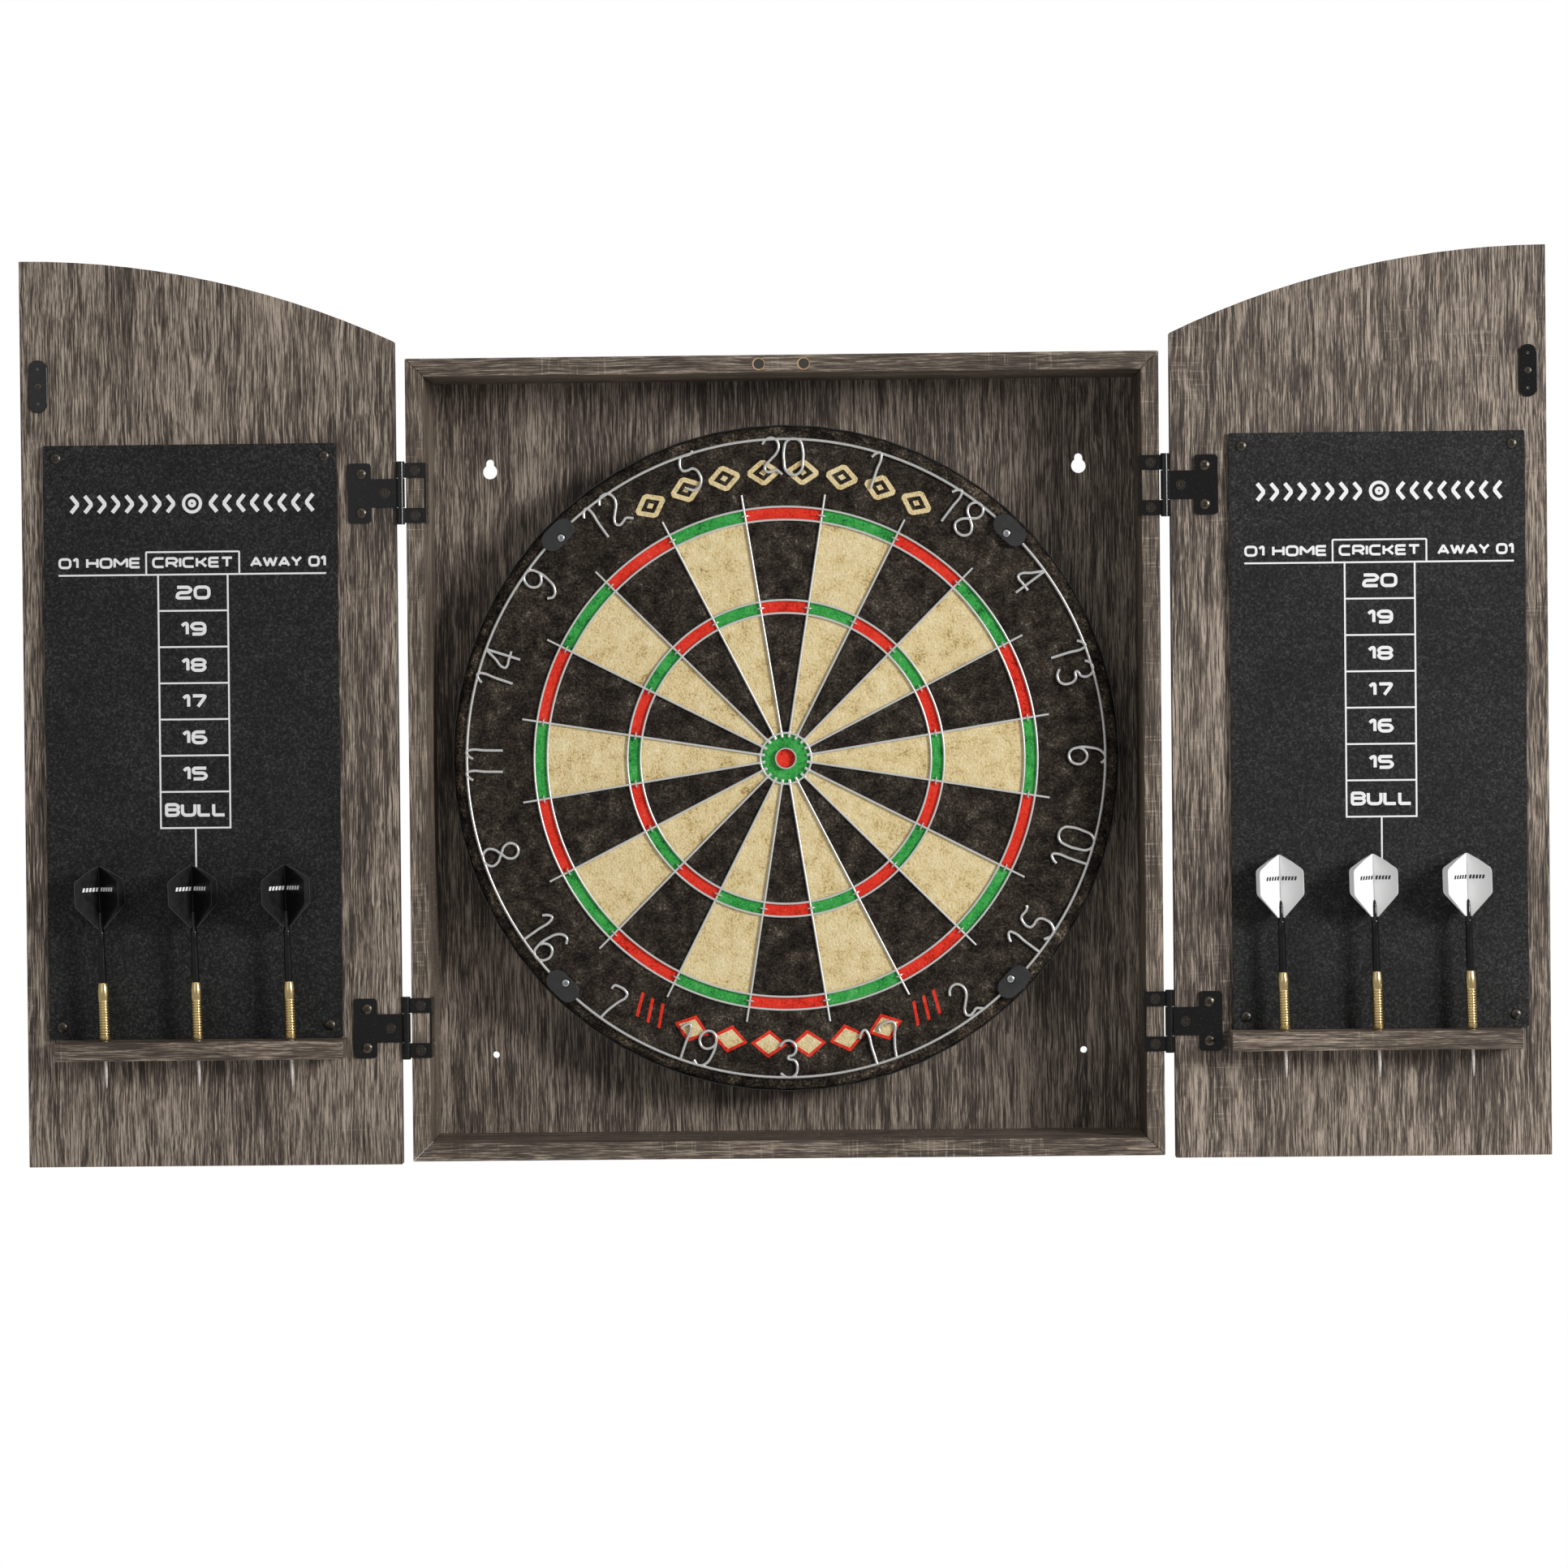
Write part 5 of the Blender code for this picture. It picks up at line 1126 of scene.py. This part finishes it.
def barrel_profile():
    """Brass barrel: a plain nose, rounded rings, a plain neck and a tapered tail."""
    body = 3.75
    groove = 3.3
    start = 4.2
    profile = [(0.0, 0.3), (3.1, 0.3), (body - 0.1, 0.9), (body, 1.4), (body, start - 0.2)]
    for ring in range(BARREL_RINGS):
        foot = start + ring * RING_PITCH
        profile += [(groove, foot + 0.15), (groove, foot + 0.4), (body - 0.15, foot + 0.65),
                    (body, foot + 0.95), (body, foot + 1.3), (body - 0.15, foot + 1.6)]
    profile += [(body, start + BARREL_RINGS * RING_PITCH + 0.3), (body, 33.8), (3.7, 34.3),
                (3.2, BARREL_END - 0.4), (3.0, BARREL_END), (0.0, BARREL_END)]
    return in_mm(profile)


def dart(side_name, index, film, edge, ornament):
    """Barrel, point, shaft, flight and its small ornament, all on one leaning axis."""
    stem = f"dart_{side_name}_{index}"
    place = dart_frame(side_name, index)

    def put(name, bm, slot, *finishes, replaces=(), sharp=35):
        bmesh.ops.transform(bm, matrix=place, verts=bm.verts)
        piece(f"{stem}_{name}", bm, stem, slot, *finishes, replaces=replaces, sharp=sharp)

    put("brass_barrel", turned(barrel_profile(), 32), "brass", BRASS,
        replaces=[f"{stem}_barrel"])
    point = turned(in_mm([(0.0, POINT_TIP), (0.35, -30.2), (0.85, -26), (1.15, -22), (1.15, -3.6),
                          (1.9, -3.6), (2.2, -3.2), (2.2, 0.4), (0.0, 0.4)]), 20)
    put("steel_point", point, "zinc_steel", POINT_STEEL)

    foot = FLIGHT_FOOT
    shaft = turned(in_mm([(0.0, BARREL_END), (2.5, BARREL_END + 0.3), (2.55, 47), (2.4, 62),
                          (2.15, foot - 4.4), (2.4, foot - 4.0), (2.4, foot - 2.2),
                          (2.0, foot - 1.8), (1.9, foot + 7), (1.5, foot + 10),
                          (0.7, foot + 11.2), (0.0, foot + 11.4)]), 24)
    put("stem", shaft, "nylon", NYLON, replaces=[f"{stem}_shaft"], sharp=50)

    outline = [(0.25, 0.4), (3.0, 0.0), (19.4, 14.3), (20.3, 15.6), (20.5, 17.4), (20.5, 29.6),
               (20.2, 31.0), (19.2, 32.3), (10.0, 37.6), (1.2, 41.6), (0.25, 41.8)]
    wings = []
    slot = "black_flight_film" if film is BLACK_FILM else "white_flight_film"
    for turn in (45, 135, 225, 315):
        wing = slab(in_mm([(x, foot + z) for x, z in outline]), FILM_THICKNESS)
        moved(wing, (0, -FILM_THICKNESS / 2, 0))
        bmesh.ops.recalc_face_normals(wing, faces=wing.faces)
        broad = [face for face in wing.faces if len(face.verts) == len(outline)]
        # A band 0.3 mm wide round both faces of each wing takes the second finish. On black film
        # this is a painted highlight along the edge; on white film it is a little greyer.
        for strip in bmesh.ops.inset_individual(wing, faces=broad, thickness=0.3 * MM)["faces"]:
            strip.material_index = 1
        wings.append(spun(wing, math.radians(turn), "Z"))
    put("film", together(wings), slot, film, edge, replaces=[f"{stem}_flight"])

    # Ornament across the two wings that face out: a run of small slanted bars.
    marks = []
    ink = 0.08 * MM
    bottom, top = foot + 24.8, foot + 27.4
    for turn, side in ((225, 1), (315, -1)):
        for step in range(5):
            start = 1.6 + 2.7 * step
            end = start + 1.7
            lean = -side * 0.8
            bar = slab(in_mm([(start, bottom), (end, bottom), (end + lean, top),
                              (start + lean, top)]), ink)
            moved(bar, (0, side * (FILM_THICKNESS + ink) / 2 - ink / 2, 0))
            marks.append(spun(bar, math.radians(turn), "Z"))
    put("flight_marks", together(marks), slot, ornament)


# ---------------------------------------------------------------- studio
def area_light(name, place, aim, size, power):
    """Soft white square light aimed at a point."""
    lamp = bpy.data.lights.new(name, "AREA")
    lamp.size = size
    lamp.energy = power
    made = bpy.data.objects.new(name, lamp)
    made.location = place
    made.rotation_euler = (Vector(aim) - Vector(place)).to_track_quat("-Z", "Y").to_euler()
    bpy.context.scene.collection.objects.link(made)


# Camera: long lens at eye level, turned a little to the left, down and clockwise (radians).
LENS = 113.44
EYE = (0.05135, -3.387, 0.03044)
TURN_LEFT, TURN_DOWN, ROLL = 0.0158, -0.0143, 0.01
FLOOR_DROP = 0.75
FLOOR_HALF_WIDTH = 1.4


def studio():
    """Camera in front, pale floor, white surroundings, soft light mostly from the right."""
    scene = bpy.context.scene
    scene.view_settings.view_transform = "Standard"
    low, high = (Vector(corner) for corner in cad_box)
    centre = (low + high) / 2

    lens = bpy.data.cameras.new("camera")
    lens.lens = LENS
    lens.sensor_width = 36.0
    lens.clip_end = 20.0
    camera = bpy.data.objects.new("camera", lens)
    level = Matrix.Rotation(math.radians(90), 3, "X")
    turn = (Matrix.Rotation(TURN_LEFT, 3, "Z") @ Matrix.Rotation(TURN_DOWN, 3, "X")
            @ Matrix.Rotation(ROLL, 3, "Y"))
    camera.matrix_world = Matrix.Translation(EYE) @ (turn @ level).to_4x4()
    scene.collection.objects.link(camera)
    scene.camera = camera

    floor_mesh = bpy.data.meshes.new("pale_floor")
    bm = bmesh.new()
    bmesh.ops.create_grid(bm, x_segments=1, y_segments=1, size=FLOOR_HALF_WIDTH)
    bm.to_mesh(floor_mesh)
    bm.free()
    floor = bpy.data.objects.new("pale_floor", floor_mesh)
    floor.location = (centre.x, centre.y, low.z - FLOOR_DROP)
    floor_mesh.materials.append(finish("pale_studio_floor", "#f6f5f3", 0.7)[0])
    scene.collection.objects.link(floor)

    area_light("key", (2.75, -2.4, 0.8), centre, 0.9, 100)
    area_light("fill", (-1.6, -3.4, 0.9), centre, 2.2, 7)
    area_light("top", (0.2, -2.4, 2.4), centre, 1.6, 8)
    area_light("behind", (-1.2, 2.8, 1.4), centre, 1.6, 45)

    world = bpy.data.worlds.new("white_surroundings")
    world.use_nodes = True
    scene.world = world
    tree = world.node_tree
    seen = tree.nodes["Background"]
    seen.inputs["Color"].default_value = (1, 1, 1, 1)
    seen.inputs["Strength"].default_value = 1.0
    given = add(tree, "ShaderNodeBackground", {"Color": (1, 1, 1, 1), "Strength": 0.3})
    path = add(tree, "ShaderNodeLightPath", {})
    mix = add(tree, "ShaderNodeMixShader", {0: path.outputs["Is Camera Ray"], 1: given.outputs[0],
                                            2: seen.outputs[0]})
    tree.links.new(mix.outputs[0], tree.nodes["World Output"].inputs["Surface"])


# ---------------------------------------------------------------- assembly
studio()
dress_cabinet()
sisal_face()
scoring_wires()
bull_ring()
number_ring()
border_marks()
for door in SIDES:
    score_print(door)
pan_head = screw_head(3.8 * MM, 1.7 * MM, 0.3 * MM)
flush_head = countersunk_head(3.25 * MM)
hinge_screws(pan_head, flush_head)
small_screws(pan_head)
magnet_mouths()
for dart_index in (1, 2, 3):
    dart("left", dart_index, BLACK_FILM, BLACK_FILM_EDGE_HIGHLIGHT, INK)
    dart("right", dart_index, WHITE_FILM, WHITE_EDGE, BLACK_INK)
